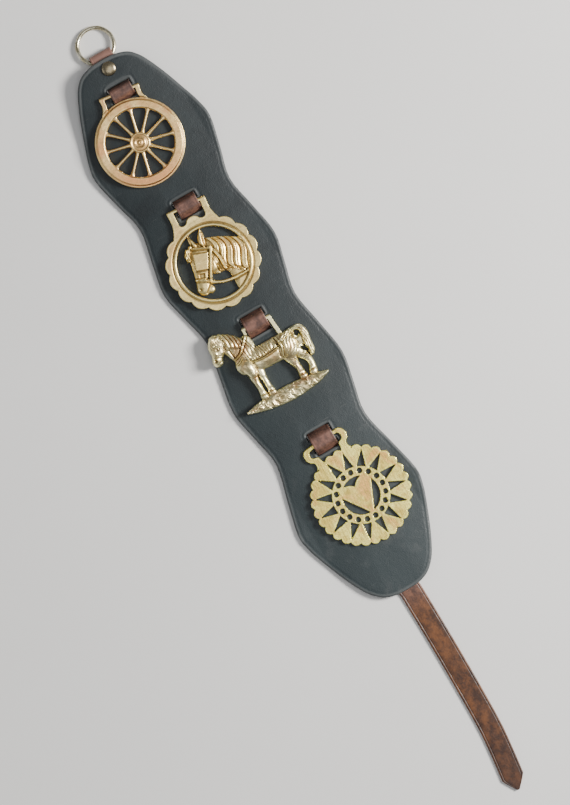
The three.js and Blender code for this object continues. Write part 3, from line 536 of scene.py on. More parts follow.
def horse_body(x, y):
    """The standing horse's smooth body: stations of each limb, its edge height and its crest."""
    return limb_relief(x, y, [
        # barrel, neck, withers, head and forelock
        ([[-23, -26.5, 9.6], [-8.5, -27.3, 10], [12, -27, 10.4]], 1.6, 3.6),
        ([[-21, -18, 10.2], [-27.7, -7, 8.8], [-34.5, -0.5, 7.2]], 1.6, 3.6),
        ([[-15.5, -9.5, 5.2], [-15.2, -15, 5.2]], 1.2, 2.4),
        ([[-37.6, 2.0, 5.4], [-38.2, -2.6, 7.7], [-40.2, -7.4, 5.6], [-42.6, -11.6, 4.5],
          [-43.4, -14.0, 4.5]], 1.8, 5.0),
        ([[-38.0, 3.0, 5.0], [-37.5, 6.0, 1.7]], 1.8, 4.4),
        # shoulder, quarters, two fore legs and two hind legs
        ([[-23.5, -28, 6.4], [-22.2, -36, 4.6]], 1.6, 5.2),
        ([[13.5, -26, 8.8], [14.5, -33, 7.4]], 1.6, 5.2),
        ([[-22.5, -36, 4.8], [-23.2, -43, 3.0], [-22.4, -50, 2.8], [-22.6, -57, 3.6]], 1.4, 3.0),
        ([[-16.8, -36, 4.4], [-16.0, -43, 2.7], [-15.6, -50, 2.5], [-15.2, -57, 3.4]], 1.0, 2.6),
        ([[10.5, -33, 6.8], [12, -42, 4.2], [13.4, -49, 2.8], [13.8, -57, 3.5]], 1.4, 3.2),
        ([[19, -35, 6.2], [23.2, -43.5, 3.6], [24.6, -50, 2.8], [22.8, -57.5, 3.6]], 1.0, 2.8),
        # tail, and its root
        (HORSE_TAIL, 1.2, 3.4),
        ([[20, -24, 4.6], [26, -30, 4.0]], 1.0, 1.2),
    ], 0.7)


def horse_coat(x, y, top):
    """The standing horse's mane, cloth, collar and legs, carved into its body."""
    top = lumped(x, y, top, (
        (-22.8, -29.8, 4.6, 5.2, 1.5), (13.5, -27.5, 6.0, 5.5, 0.9), (-6, -30.5, 9, 3.4, 0.7),
        (-29, -14, 3.0, 5.0, -0.7), (9.5, -32.5, 3.0, 3.5, 0.5), (20.5, -31, 3.2, 4.5, -0.6),
        (-22.5, -43.5, 1.8, 2.6, 0.5), (-15.8, -43.5, 1.6, 2.4, 0.5), (13.0, -46, 1.8, 2.6, 0.5),
        (24.2, -47, 1.8, 2.8, 0.5),
    ))
    wander = ripple(x, y, 23, 3.0)

    # mane in curved locks from the crest down to the collar
    crest_y = 2.9 - 0.5 * (x + 30.8)
    collar_y = np.interp(x, [-33, -31, -24, -19.8, -15.7, -13.5], [-20.2, -19.6, -16.7, -12.5, -7.9, -5.0])
    on_neck = (x > -31.6 - 0.12 * (y + 6)) & (x < -13.4) & (y > collar_y)
    below = crest_y - y
    lock = (x - 1.5 * (1 - ((below - 6) / 7) ** 2) + 29.6 + 0.5 * wander) / 3.1
    long_hair = np.clip((13.5 - below) / 4, 0.35, 1)
    locks = long_hair * (1.5 * carved(lock, 0.55) + 0.35 * carved(3 * lock, 0.6)) - 1.0
    top = np.where(on_neck, top + locks, top)

    # a fringed cloth over the back, hatched downwards
    trace_y = np.interp(x, [-20, -8, 7.5], [-26.3, -27.2, -25.4])
    back_y = collar_y - 1.0 + 4 * np.clip(x + 13.5, 0, 9)
    on_back = (x > -22) & (x < 6.4) & (y > trace_y + 0.6) & (y < back_y)
    fringe = (x + 0.12 * (y + 20) + 0.5 * np.sin((y + 14) / 2.1 + 0.5 * x) + 1.5 * wander) / 2.5
    top = np.where(on_back, top + 0.95 * carved(fringe, 0.6) + 0.2 * carved(2.6 * fringe, 0.6) - 0.65, top)

    # waves of hair over the quarters
    on_hip = clamp((x - 9.2) / 1.5) * clamp((y + 38) / 3) * clamp((23.5 - x) / 3)
    sweep = (0.8 * x - 0.4 * y + 2.2 * wander + 0.9 * np.sin(y / 2.2)) / 2.7
    top = top + on_hip * (0.75 * carved(sweep, 0.6) - 0.45)
    top = top + np.where(y < -36, 0.12 * carved((x + 0.3 * y + wander) / 1.7, 0.6) - 0.06, 0)
    top = top + 0.12 * ripple(x, y, 22, 0.7) + 0.22 * ripple(x, y, 24, 1.6)

    # collar, breast straps, trace and breeching
    for stations, rise in (
        ([[-13.6, -4.6, 1.2], [-15.7, -7.9, 1.2], [-19.8, -12.5, 1.2], [-24, -16.7, 1.0],
          [-31, -19.6, 0.8]], 1.5),
        ([[-32.2, -21.2, 0.6], [-30.6, -23.7, 0.6], [-27.6, -22.8, 0.6], [-24.4, -20.6, 0.5]], 0.9),
        ([[-19.6, -26.0, 0.55], [-8, -26.9, 0.55], [7.4, -25.0, 0.55]], 0.7),
        ([[-19.0, -27.6, 0.55], [-8, -28.4, 0.55], [7.2, -26.6, 0.55]], 0.7),
        ([[6.8, -17.0, 0.9], [8.6, -22.5, 0.9], [8.6, -28.5, 0.9], [6.6, -34.8, 0.7]], 0.9),
        ([[9.0, -23.6, 0.6], [15.0, -21.4, 0.6], [21.4, -19.6, 0.6]], 0.6),
    ):
        top = cord(x, y, top, stations, rise, 0.4)
    top = grooved(x, y, top, (
        ((5.6, -18), (6.6, -24), 0.9, 0.8), ((6.6, -24), (4.6, -34), 0.9, 0.8),
        ((5.6, -36), (13.6, -41.4), 0.6, 0.9), ((13.6, -41.4), (22.4, -42.4), 0.5, 0.9),
        ((-18.4, -24), (-17.2, -33.5), 0.8, 0.9), ((-20.0, -36), (-19.4, -45), 0.9, 0.7),
        ((-23.9, -43), (-23.4, -52), 0.25, 0.6), ((14.6, -45), (15.0, -52), 0.25, 0.6),
        ((-31.0, -10.5), (-29.6, -17.5), 0.8, 0.8),
    ))
    for hx in (-22.8, -15.2, 13.9, 23.0):
        near = clamp((3.6 - np.abs(x - hx)) / 0.5)
        top = top - 0.7 * bump(y + 55.6, 0.5) * near
        top = top + near * 0.3 * carved((x - hx) / 1.2, 0.6) * bump(y + 53.4, 1.6)
    return top


def horse_face(x, y, top):
    """The small head, turned to the front: forelock, brow, eyes, nose, noseband and nostrils."""
    spread = np.arctan2(x + 37.2, 10.5 - y) + 0.12 * ripple(x, y, 27, 1.4)
    above_brow = clamp((y + 2.2 + 0.15 * (x + 40)) / 1.2) * (x < -31.4)
    top = top + above_brow * (0.65 * carved(spread * 4.4 + 0.2 * np.sin(y / 1.1), 0.6) - 0.4)
    top = top - 1.2 * bump(np.hypot(x + 35.7, y - 5.3), 0.7)
    top = lumped(x, y, top, (
        (-38.7, -5.0, 1.7, 1.1, -1.3), (-38.4, -4.8, 0.6, 0.6, 0.8), (-45.3, -5.0, 0.9, 1.2, -1.1),
        (-44.7, -2.7, 1.3, 0.8, 0.8), (-41.6, -6.8, 0.8, 2.2, 0.9), (-36.6, -8.8, 1.6, 1.3, 0.5),
        (-33.4, -6.4, 0.9, 1.9, -0.9), (-41.0, -1.2, 1.6, 1.2, 0.4),
    ))
    for path, rise in (
        ([[-41.2, -3.4, 0.6], [-38.6, -2.7, 0.7], [-36.4, -4.3, 0.6]], 0.6),
        ([[-45.6, -8.8, 0.6], [-42.6, -9.6, 0.7], [-38.9, -11.8, 0.6]], 0.5),
        ([[-32.4, -2.6, 0.45], [-35.3, -6.2, 0.5], [-32.8, -9.0, 0.45]], 0.5),
    ):
        top = cord(x, y, top, path, rise, 0.25)
    for cx, cy, half in ((-44.4, -13.1, 1.5), (-41.2, -15.5, 1.1)):
        u, v = x - cx + 0.25 * (y - cy), y - cy - 0.15 * (x - cx)
        pit = half - (u ** 4 + v ** 4) ** 0.25
        top = top - 0.9 * clamp(pit / 0.7) + 0.5 * bump(pit + 0.4, 0.5)
    return top


def horse_shape(x, y):
    depth, top = horse_body(x, y)
    base_d, base_top = limb_relief(x, y, [
        ([[-41, -63, 1.3], [-30, -63.3, 4.2], [-17, -63.8, 6], [-4, -64, 6.8], [9, -63.8, 6.2],
          [22, -63.4, 4.5], [32.6, -62.8, 1.5]], 1.8, 2.2)])
    tracery = np.zeros(x.shape)
    for seed, scale in ((51, 2.0), (52, 2.6), (53, 1.5)):
        tracery = np.maximum(tracery, bump(ripple(x * 0.8 + 0.35 * y, y * 0.75, seed, scale), 0.11))
    ground = base_top - 0.35 + 0.75 * tracery + 0.14 * ripple(x, y, 12, 0.7) + 0.3 * ripple(x, y, 54, 3)
    top = horse_coat(x, y, top)
    top = np.where(x < -31, horse_face(x, y, top), top)

    # the tail's arch, dented round its openings and cut into strands
    for cx, cy in ((23.6, -23.6), (24.8, -38.6)):
        top = top - 0.8 * bump(np.hypot(x - cx, y - cy) - 2.4, 0.9)
    arch = np.where(y > -27, np.hypot(x - 24.6, y + 27), np.abs(x - 24.6))
    tail_d, _ = tapered(x, y, curve([[22, -18.6, 2.2], *HORSE_TAIL[2:]]))
    strands = carved((arch + 0.5 * np.sin(y / 2.3)) / 1.95, 0.6)
    top = np.where(tail_d > 0.1, top + 1.0 * strands - 0.6, top)
    top = np.where(base_d > 0, np.maximum(ground, np.where(depth > 0.3, top, -9)), top)
    depth = smooth_max(depth, base_d, 0.8)

    # openings between the legs and in the tail
    for cx, cy, rx, ry, turn in (
        (-19.1, -50, 0.9, 4.6, 0), (18.4, -50.2, 2.0, 4.6, 0.06),
        (24.6, -23.4, 1.7, 2.1, 0.2), (24.9, -37.2, 1.3, 3.4, 0.7),
    ):
        u = (x - cx) * math.cos(turn) + (y - cy) * math.sin(turn)
        v = (y - cy) * math.cos(turn) - (x - cx) * math.sin(turn)
        depth = np.minimum(depth, (np.hypot(u / rx, v / ry) - 1) * min(rx, ry))

    # the hanger stands behind the horse, and shows alone above its back
    legs = polygon(x, y, [[11.6, -20], [9.2, -1], [9.2, -BAR_RADIUS], [-11.4, -BAR_RADIUS], [-11.6, -12],
                          [-15, -12], [-13.8, 1.5], [12.4, 1.5], [15, -20]])
    alone = depth < 0
    edge_drop = rounded_edge(depth, 1.1) * np.clip((top - 0.2) / 2.2, 0, 1.6)
    top = np.where(alone, bar_section(y, BAR_RADIUS), np.maximum(top - edge_drop, 0.2))
    depth = np.maximum(depth, np.maximum(legs, cast_bar(x, y, -13.8, 12.4)))
    top = np.where(alone, top - rounded_edge(depth, 0.5) * (np.abs(y) > BAR_RADIUS), top)
    return depth, *with_bar(y, top, alone & (y > -BAR_RADIUS))


HEART_Y, HEART_RAYS, HEART_HOLES, DOWN = -56.3, 15, 17, -math.pi / 2


def heart_shape(x, y):
    cy = y - HEART_Y
    r = np.hypot(x, cy)
    outer = scallops(x, cy, 2 * HEART_RAYS, 39.8, 42.3, DOWN)
    around = pitched(np.arctan2(cy, x) - DOWN, HEART_RAYS)
    u, v = r * np.cos(around), r * np.sin(around)
    disk = np.minimum(outer, -polygon(u, v, [[24.0, -3.6], [24.3, 0], [24.0, 3.6], [38, 0]]))
    around = pitched(np.arctan2(cy, x) - DOWN, HEART_HOLES)
    disk = np.minimum(disk, np.hypot(r * np.cos(around) - 20.4, r * np.sin(around)) - 2.15)
    dip = path((8.3, 13.56), ((2.4, 12.6), (0, 8.8)), ((-2.4, 12.6), (-8.3, 13.56)))
    cleft = [*arc(0, 0, 15.9, 2.12, 1.02), *dip[1:]]
    right = [*arc(0, 0, 15.9, 0.41, -1.44, 24), [14.58, 6.34]]
    for opening in (cleft, right, [[-px, py] for px, py in right]):
        disk = np.minimum(disk, -polygon(x, cy, opening))

    # the hanger: two C loops, open towards each other
    side = path((17.6, -19.2), ((14.2, -15), (16.6, -12.4)), ((20.3, -10.4), (20.3, -6)),
                ((20.3, 1), (13.3, 1)))
    foot = path((11.6, -9.5), ((9.6, -10.4), (9.8, -12)), ((10.2, -14.6), (7.4, -17.4)))
    inner = [[11.9, -2.5], *arc(11.9, -6, 3.5, math.pi / 2, -math.pi / 2, 12), *foot[1:]]
    tie = polygon(x, y, [*mirrored(side), *[[-px, py] for px, py in reversed(inner)], *inner])
    depth = np.maximum(disk, np.where(outer < 2, tie, FAR_OUTSIDE))
    half = bar_section(y, SHEET_HALF)
    top = half - rounded_edge(depth, 0.4) + 0.05 * ripple(x, y, 31, 5)
    back = np.where(y > -SHEET_HALF, -np.maximum(half, THINNEST), -SHEET_HALF)
    return depth, np.maximum(top, THINNEST * 0.6), back


# ---- leather and strap
STRAP_HALF, STRAP_THICKNESS = 9.7, 2.2
UNDERSIDE, BACKING_THICKNESS = 2.7, 3.4
LOOP_HEIGHT, LIFT_START, LIFT_END, LIFT = 4.6, 118, 253.5, 7.0
DROOP_START, DROOP_END = 12, 46
LOOPS = ((222.5, 2.3, 5.3), (114.9, 2.7, 6.2), (2.6, 3.4, 6.6), (-108.6, 3.8, 6.8))
STRAP_X, BACKING_X = 0.45, -0.75
STRAP_END_Y, RIVET_X, RIVET_Y = 236, 0.8, 244.2
FOLD_Y, FOLD_INNER, FOLD_GAP = 256.55, 2.25, 0.35
TAIL_START, TAIL_TIP, TAIL_HALF = -250, -440.5, 9.5
TIP_X, TIP_START = -3.2, -429

# the backing's outline as its half-width at heights down its length
BACKING_OUTLINE = [
    [253.5, 0], [252.8, 11], [249.5, 21.5], [244, 27.8], [236, 33], [220, 40.3], [202, 47],
    [186, 52.4], [170, 54.8], [144, 49.2], [117, 43], [89, 48], [60, 52.9], [34, 47.6], [8, 42.2],
    [-22, 47.2], [-53, 52], [-80, 47.4], [-107, 42.7], [-138, 49.7], [-167, 56.3], [-182, 54.6],
    [-198, 49.2], [-218, 41], [-233, 33.5], [-241, 27.6], [-247, 20.5], [-250.3, 11], [-251, 0],
]


def lift(y):
    return LIFT * np.clip((y - LIFT_START) / (LIFT_END - LIFT_START), 0, None) ** 2


def droop(x):
    share = clamp((np.abs(x - BACKING_X) - DROOP_START) / (DROOP_END - DROOP_START))
    return UNDERSIDE * share ** 1.5


def strap_height(y):
    """Height of the strap's middle surface: along the floor, up and over each hanger bar."""
    low = STRAP_THICKNESS / 2
    high = UNDERSIDE + BACKING_THICKNESS + LOOP_HEIGHT + STRAP_THICKNESS / 2
    z = low + lift(y)
    for at, flat, slope in LOOPS:
        away = clamp((np.abs(y - at) - flat) / slope)
        z = z + (high - low) * (0.5 + 0.5 * np.cos(math.pi * away))
    return z


def backing_shape(x, y):
    right = [[BACKING_X + max(0, half), py] for py, half in curve(BACKING_OUTLINE, 4)]
    left = [[2 * BACKING_X - px, py] for px, py in right[1:-1]]
    depth = polygon(x, y, [*right, *reversed(left)])
    top = UNDERSIDE + BACKING_THICKNESS + lift(y) - droop(x)
    back = top - BACKING_THICKNESS
    top = top + 0.18 * ripple(x, y, 41, 26)
    slots = np.full(x.shape, 1e3)
    for at, flat, slope in LOOPS:
        for side in (-1, 1):
            middle, half = at + side * (flat + 0.475 * slope), 0.455 * slope
            gap_x = np.abs(x - STRAP_X) - STRAP_HALF - 0.9
            gap_y = np.abs(y - middle) - half
            gap = np.where((gap_x > 0) & (gap_y > 0), np.hypot(gap_x, gap_y), np.maximum(gap_x, gap_y))
            slots = np.minimum(slots, gap)
    depth = np.minimum(depth, slots)
    top = top + 0.28 * bump(slots - 1.2, 1.1)
    top = top - 0.35 * bump(depth - 3.0, 0.55) - rounded_edge(depth, 1.25)
    back = back + rounded_edge(depth, 0.8) * (slots > 2)
    return depth, np.maximum(top, back + 0.4), np.maximum(back, 0.0)


def strap_at(ys):
    return np.column_stack([ys, strap_height(np.array(ys, float))]).tolist()


def strap_path():
    """The strap's middle line as [y, z]: from its end under the rivet, round the fold and over
    the four bars to the start of the free tail."""
    low = STRAP_THICKNESS / 2
    fold = FOLD_INNER + low
    under = STRAP_THICKNESS + FOLD_GAP
    pinch_start, pinch_end = RIVET_Y + 2.7, 251.2
    path = [[y, z - under] for y, z in strap_at(np.linspace(STRAP_END_Y, pinch_start, 8))]
    climb = path.pop()[1] - low
    for share in np.linspace(0, 1, 11):
        y = pinch_start + (pinch_end - pinch_start) * share
        path.append([y, low + climb * (0.5 + 0.5 * math.cos(math.pi * share))])
    path += [[FOLD_Y + fold * math.cos(a), low + fold * (1 + math.sin(a))]
             for a in np.linspace(-math.pi / 2, math.pi / 2, 19)]
    path += strap_at([252, 249, 246, 243, 240, 237, 234])
    previous = 231.5
    for at, flat, slope in LOOPS:
        if previous - at > 20:
            path += strap_at(np.linspace(previous, at + flat + slope + 2, 16))
        path += strap_at(np.linspace(at + flat + slope, at - flat - slope, 40))
        previous = at - flat - slope - 2
    return np.array(path + [[y, low] for y in np.linspace(previous, TAIL_START, 24)])


def strap_mesh():
    """The whole strap, with a crease along both edges that is fainter on the loops."""
    low = STRAP_THICKNESS / 2
    path = strap_path()

    # the middle line of the free tail, and how the strap narrows to its point
    tail = curve([[1.05, TAIL_START], [2.0, -300], [2.1, -350], [1.4, -385], [-0.9, -410],
                  [TIP_X, TIP_START]], 14)[1:]
    share = np.linspace(0.1, 1, 10)
    tip = np.column_stack([TIP_X - 1.1 * share, TIP_START + (TAIL_TIP - TIP_START) * share])
    free = np.vstack([tail, tip])
    middle = np.vstack([
        np.column_stack([np.full(len(path), STRAP_X), path]),
        np.column_stack([free, np.full(len(free), low)])])
    half = np.concatenate([np.full(len(path), STRAP_HALF), np.full(len(tail), TAIL_HALF),
                           TAIL_HALF + (0.9 - TAIL_HALF) * share ** 1.12])

    along = np.gradient(middle, axis=0)
    along /= np.linalg.norm(along, axis=1)[:, None]
    on_tail = (middle[:, 1] < TAIL_START)[:, None]
    level = np.stack([-along[:, 1], along[:, 0], 0 * along[:, 0]], -1)
    across = np.where(on_tail, level, np.array([[1.0, 0, 0]]))
    across /= np.linalg.norm(across, axis=1)[:, None]
    out = np.cross(along, across)

    # the section: how far across the upper face each point is, and how far it falls
    share = np.array([0, 0.012, 0.03, 0.05, 0.07, 0.085, 0.105, 0.125, 0.16, 0.4])
    drop = np.array([0.75, 0.38, 0.12, 0.0, 0.0, 0.07, 0.28, 0.07, 0.0, 0.0])
    side = np.concatenate([-1 + 2 * share, [0.0], (1 - 2 * share)[::-1]])
    fall = np.concatenate([drop, [0.0], drop[::-1]])
    lower_side = (1, 0.96, 0.3, -0.3, -0.96, -1)
    rings = []
    for c, a, o, h in zip(middle, across, out, half):
        crease = min(1.0, h / STRAP_HALF) * (1.0 if c[1] < LOOPS[-1][0] - 20 else 0.4)
        upper = [c + a * (s * h) + o * (low - f * crease) for s, f in zip(side, fall)]
        lower = [c + a * (s * h) - o * (low - (0.5 if abs(s) == 1 else 0)) for s in lower_side]
        rings.append(upper + lower)
    rings = np.array(rings)
    rows, n = rings.shape[:2]
    index = np.arange(rows * n).reshape(rows, n)
    a, b = index[:-1], np.roll(index[:-1], -1, 1)
    c, d = np.roll(index[1:], -1, 1), index[1:]
    faces = np.stack([a, d, c, b], -1).reshape(-1, 4).tolist()
    faces += [index[0].tolist(), index[-1][::-1].tolist()]
    mesh = plain_mesh("strap_leather", rings.reshape(-1, 3), faces)
    add_values(mesh, "bend", np.repeat(clamp(np.abs(np.gradient(along[:, 2])) * 6), n))
    add_values(mesh, "edge", np.tile(np.concatenate([np.abs(side), np.full(len(lower_side), 0.5)]), rows))
    return mesh


# ---- ring and rivet
RING_RADIUS, WIRE = 15.3, 1.7
RING_FOOT = 4.65  # height of the wire's middle where the fold holds it up


def lathe(name, profile, segments):
    """A closed mesh turned about z from [radius, z] points that start and end on the axis."""
    inner = profile[1:-1]
    points = [[0, 0, profile[0][1]], [0, 0, profile[-1][1]]]
    turns = np.arange(segments) * 2 * math.pi / segments
    for r, z in inner:
        points += [[r * math.cos(t), r * math.sin(t), z] for t in turns]
    faces = []
    for k in range(segments):
        m = (k + 1) % segments
        faces.append([0, 2 + m, 2 + k])
        last = 2 + (len(inner) - 1) * segments
        faces.append([1, last + k, last + m])
        for i in range(len(inner) - 1):
            a, b = 2 + i * segments, 2 + (i + 1) * segments
            faces.append([a + k, a + m, b + m, b + k])
    return plain_mesh(name, points, faces)


def rivet_mesh():
    """The domed cap, its shank through the leather and the washer under it."""
    cap, shank, washer = 6.0, 1.5, 2.1
    foot = -BACKING_THICKNESS - 2 * STRAP_THICKNESS - 4 * FOLD_GAP
    crown = [[cap * math.cos(t), 0.85 + 1.85 * math.sin(t)] for t in np.linspace(0, math.pi / 2, 12)[1:-1]]
    profile = [[0, foot - 0.8], [washer, foot - 0.8], [washer, foot], [shank, foot], [shank, 0.35],
               [cap - 0.4, 0.35], [cap - 0.05, 0.5], [cap, 0.8], *crown, [0, 2.7]]
    return lathe("rivet_dome", profile, 48)


def ring_mesh(segments=128, around=20):
    """Round wire bent into a ring, a little uneven as wire is after long handling."""
    points, faces = [], []
    for i in range(segments):
        a = 2 * math.pi * i / segments
        seam = math.exp(-((a - 1.1) / 0.02) ** 2)
        r = RING_RADIUS + 0.06 * math.sin(2 * a + 0.7)
        w = WIRE * (0.985 + 0.015 * math.sin(3 * a)) - 0.22 * seam
        for k in range(around):
            b = 2 * math.pi * k / around
            out = r + w * math.cos(b)
            points.append([out * math.cos(a), out * math.sin(a), w * math.sin(b)])
            j, m = (i + 1) % segments, (k + 1) % around
            faces.append([i * around + k, j * around + k, j * around + m, i * around + m])
    return plain_mesh("ring_wire", points, faces)


# ---- materials


class Nodes:
    """A short way to build a material's nodes. A value is a number, a tuple or another node's output."""

    def __init__(self, name):
        self.material = bpy.data.materials.new(name)
        self.material.use_nodes = True
        self.tree = self.material.node_tree
        self.shader = self.tree.nodes["Principled BSDF"]
        self.place = self.node("TexCoord").outputs["Object"]

    def link(self, value, socket):
        if isinstance(value, bpy.types.NodeSocket):
            self.tree.links.new(value, socket)
        elif socket.type == "RGBA":
            socket.default_value = (*value, 1)
        else:
            socket.default_value = value

    def node(self, kind, inputs=(), **settings):
        node = self.tree.nodes.new("ShaderNode" + kind)
        for key, value in settings.items():
            setattr(node, key, value)
        for key, value in dict(inputs).items():
            self.link(value, node.inputs[key])
        return node

    def set(self, **values):
        for key, value in values.items():
            self.link(value, self.shader.inputs[key.replace("_", " ")])

    def attribute(self, name):
        return self.node("Attribute", attribute_name=name).outputs["Fac"]

    def noise(self, scale, detail=3.0, rough=0.5, stretch=(1, 1, 1), turn=0.0, distort=0.0):
        """Cloudy noise, made finer along each axis by the stretch and then turned by degrees."""
        mapping = self.node("Mapping", {"Vector": self.place, "Scale": stretch,
                                        "Rotation": (0, 0, math.radians(turn))})
        return self.node("TexNoise", {"Vector": mapping.outputs["Vector"], "Scale": scale, "Detail": detail,
                                      "Roughness": rough, "Distortion": distort}).outputs["Fac"]

    def cells(self, scale):
        return self.node("TexVoronoi", {"Vector": self.place, "Scale": scale}).outputs["Distance"]

    def near(self, middle, reach):
        """1 at a place, falling to 0 a reach away."""
        mapping = self.node("Mapping", {"Vector": self.place, "Location": middle, "Scale": (reach,) * 3},
                            vector_type="TEXTURE")
        return self.node("TexGradient", {"Vector": mapping.outputs["Vector"]},
                         gradient_type="SPHERICAL").outputs["Fac"]

    def height(self, axis):
        return self.node("SeparateXYZ", {"Vector": self.place}).outputs[axis]

    def span(self, value, low, high, to_low=0.0, to_high=1.0):
        return self.node("MapRange", {"Value": value, "From Min": low, "From Max": high, "To Min": to_low,
                                      "To Max": to_high}, interpolation_type="SMOOTHSTEP").outputs["Result"]

    def math(self, kind, a, b):
        return self.node("Math", {0: a, 1: b}, operation=kind).outputs[0]

    def mix(self, share, a, b):
        """A mix of two colours, whose sockets go by number: the names serve three kinds of mix."""
        return self.node("Mix", {0: share, 6: a, 7: b}, data_type="RGBA").outputs[2]

    def over(self, colour, *layers):
        """A colour with layers over it: (share, colour)."""
        for share, above in layers:
            colour = self.mix(share, colour, above)
        return colour

    def bump(self, height, depth, after=None):
        inputs = {"Strength": 1.0, "Distance": depth, "Height": height}
        if after is not None:
            inputs["Normal"] = after
        return self.node("Bump", inputs).outputs["Normal"]


def shade(colour, share):
    return tuple(min(1, c * share) for c in colour)


def brass(name, pale, deep, tint, patina, age=0.5, shine=0.3, tinted=(0.5, 0.72), brushed=False,
          blush=None, clean=None):
    """Worn brass: pale on what stands out, from burnished wear and a painted highlight, deeper in the plain,
    patina in the hollows. A blush (middle, reach) warms one side of it towards the tint, and a clean place
    keeps clear of it."""
    n = Nodes(name)
    wear_and_highlight = n.attribute("wear_and_highlight")
    cloud = n.noise(55, 4, 0.6)
    uneven = n.math("SUBTRACT", cloud, 0.5)
    warm = n.span(n.noise(38, 3, 0.6, distort=0.6), *tinted, 0, 0.8)
    if blush is not None:
        reached = n.math("ADD", n.near(*blush), n.math("MULTIPLY", uneven, 0.6))
        warm = n.math("MAXIMUM", warm, n.span(reached, 0.25, 0.75, 0, 0.95))
    if clean is not None:
        warm = n.math("MULTIPLY", warm, n.span(n.near(*clean), 0.15, 0.5, 1, 0.1))
    grain = n.noise(480, 4, 0.75)
    hollow = n.span(n.math("ADD", wear_and_highlight, n.math("MULTIPLY", uneven, 0.12)), 0.30, 0.485, 1, 0)
    colour = n.over(
        n.mix(n.span(cloud, 0.40, 0.62), deep, pale),
        (warm, tint),
        (n.span(grain, 0.46, 0.66, 0, 0.55), shade(deep, 0.62)),
        (n.span(n.noise(900, 2, 0.6), 0.62, 0.78, 0, 0.22), patina),
        (n.math("MULTIPLY", hollow, age), patina),
        # paler on what stands out: burnished wear and a painted highlight
        (n.span(wear_and_highlight, 0.55, 0.85, 0, 0.55), shade(pale, 1.18)))
    if brushed:
        streak = n.span(n.noise(110, 3, 0.6, (7, 1, 1)), 0.44, 0.62)
        streak = n.math("MULTIPLY", streak, n.span(cloud, 0.3, 0.6, 0.95, 0.45))
        colour = n.mix(streak, colour, shade(deep, 0.6))

    scuff = n.noise(240, 5, 0.7, (16, 1, 1) if brushed else (1, 3, 1))
    rough = n.span(scuff, 0.3, 0.7, shine - 0.06, shine + 0.12)
    rough = n.math("ADD", rough, n.math("MULTIPLY", hollow, 0.22))
    fine = n.bump(scuff, 0.00010 if brushed else 0.00003)
    lumps = n.bump(n.noise(330, 3, 0.5), 0.00006, n.bump(grain, 0.00005, fine))
    n.set(Base_Color=colour, Roughness=rough, Metallic=1.0, Normal=lumps)
    return n.material


def backing_leather():
    """Worn black leather, scratched and bloomed. A painted sheen makes it greyer towards its lower end,
    where the bloomed patches also gather, and a painted highlight makes it paler along its raised edges and
    round its slot lips.
    """
    n = Nodes("backing_leather")
    wear_and_highlight = n.attribute("wear_and_highlight")
    up = n.height("Y")
    cloud = n.noise(22, 5, 0.65, distort=0.5)
    # greyish bloomed patches, gathered towards the lower end by a painted sheen
    bloom_and_sheen = n.math("MULTIPLY", n.span(n.noise(31, 5, 0.7), 0.5, 0.7), n.span(up, 0.05, -0.15, 0, 0.4))
    scratch = n.span(n.noise(70, 2, 0.4, (1, 26, 1), 62), 0.70, 0.74, 0, 0.5)
    scratch = n.math("MULTIPLY", scratch, n.span(n.noise(34, 2), 0.5, 0.62))
    colour = n.over(
        n.mix(n.span(cloud, 0.3, 0.7), (0.0040, 0.0080, 0.0096), (0.0095, 0.0165, 0.0190)),
        # painted sheen: greyer towards the lower end
        (n.span(up, 0.20, -0.20, 0, 0.5), (0.034, 0.049, 0.052)),
        (n.span(n.noise(150, 4, 0.7), 0.6, 0.8, 0, 0.35), (0.045, 0.048, 0.047)),
        (bloom_and_sheen, (0.085, 0.088, 0.088)),
        (scratch, (0.10, 0.105, 0.10)),
        # painted highlight along the raised edges and round the slot lips
        (n.span(wear_and_highlight, 0.60, 0.95, 0, 0.6), (0.085, 0.092, 0.092)),
        # darker in the hollows, mostly along the crease lines inside the edges and round the slots
        (n.span(wear_and_highlight, 0.30, 0.46, 0.75, 0), (0.006, 0.007, 0.008)))
    rough = n.math("ADD", n.span(cloud, 0.3, 0.7, 0.44, 0.56), n.math("MULTIPLY", scratch, 0.2))
    normal = n.bump(n.cells(1300), 0.00009, n.bump(n.noise(420, 3, 0.6), 0.00012))
    normal = n.bump(n.noise(36, 4, 0.6), 0.0005, normal)
    n.set(Base_Color=colour, Roughness=rough, Normal=normal, Specular_IOR_Level=0.5)
    return n.material


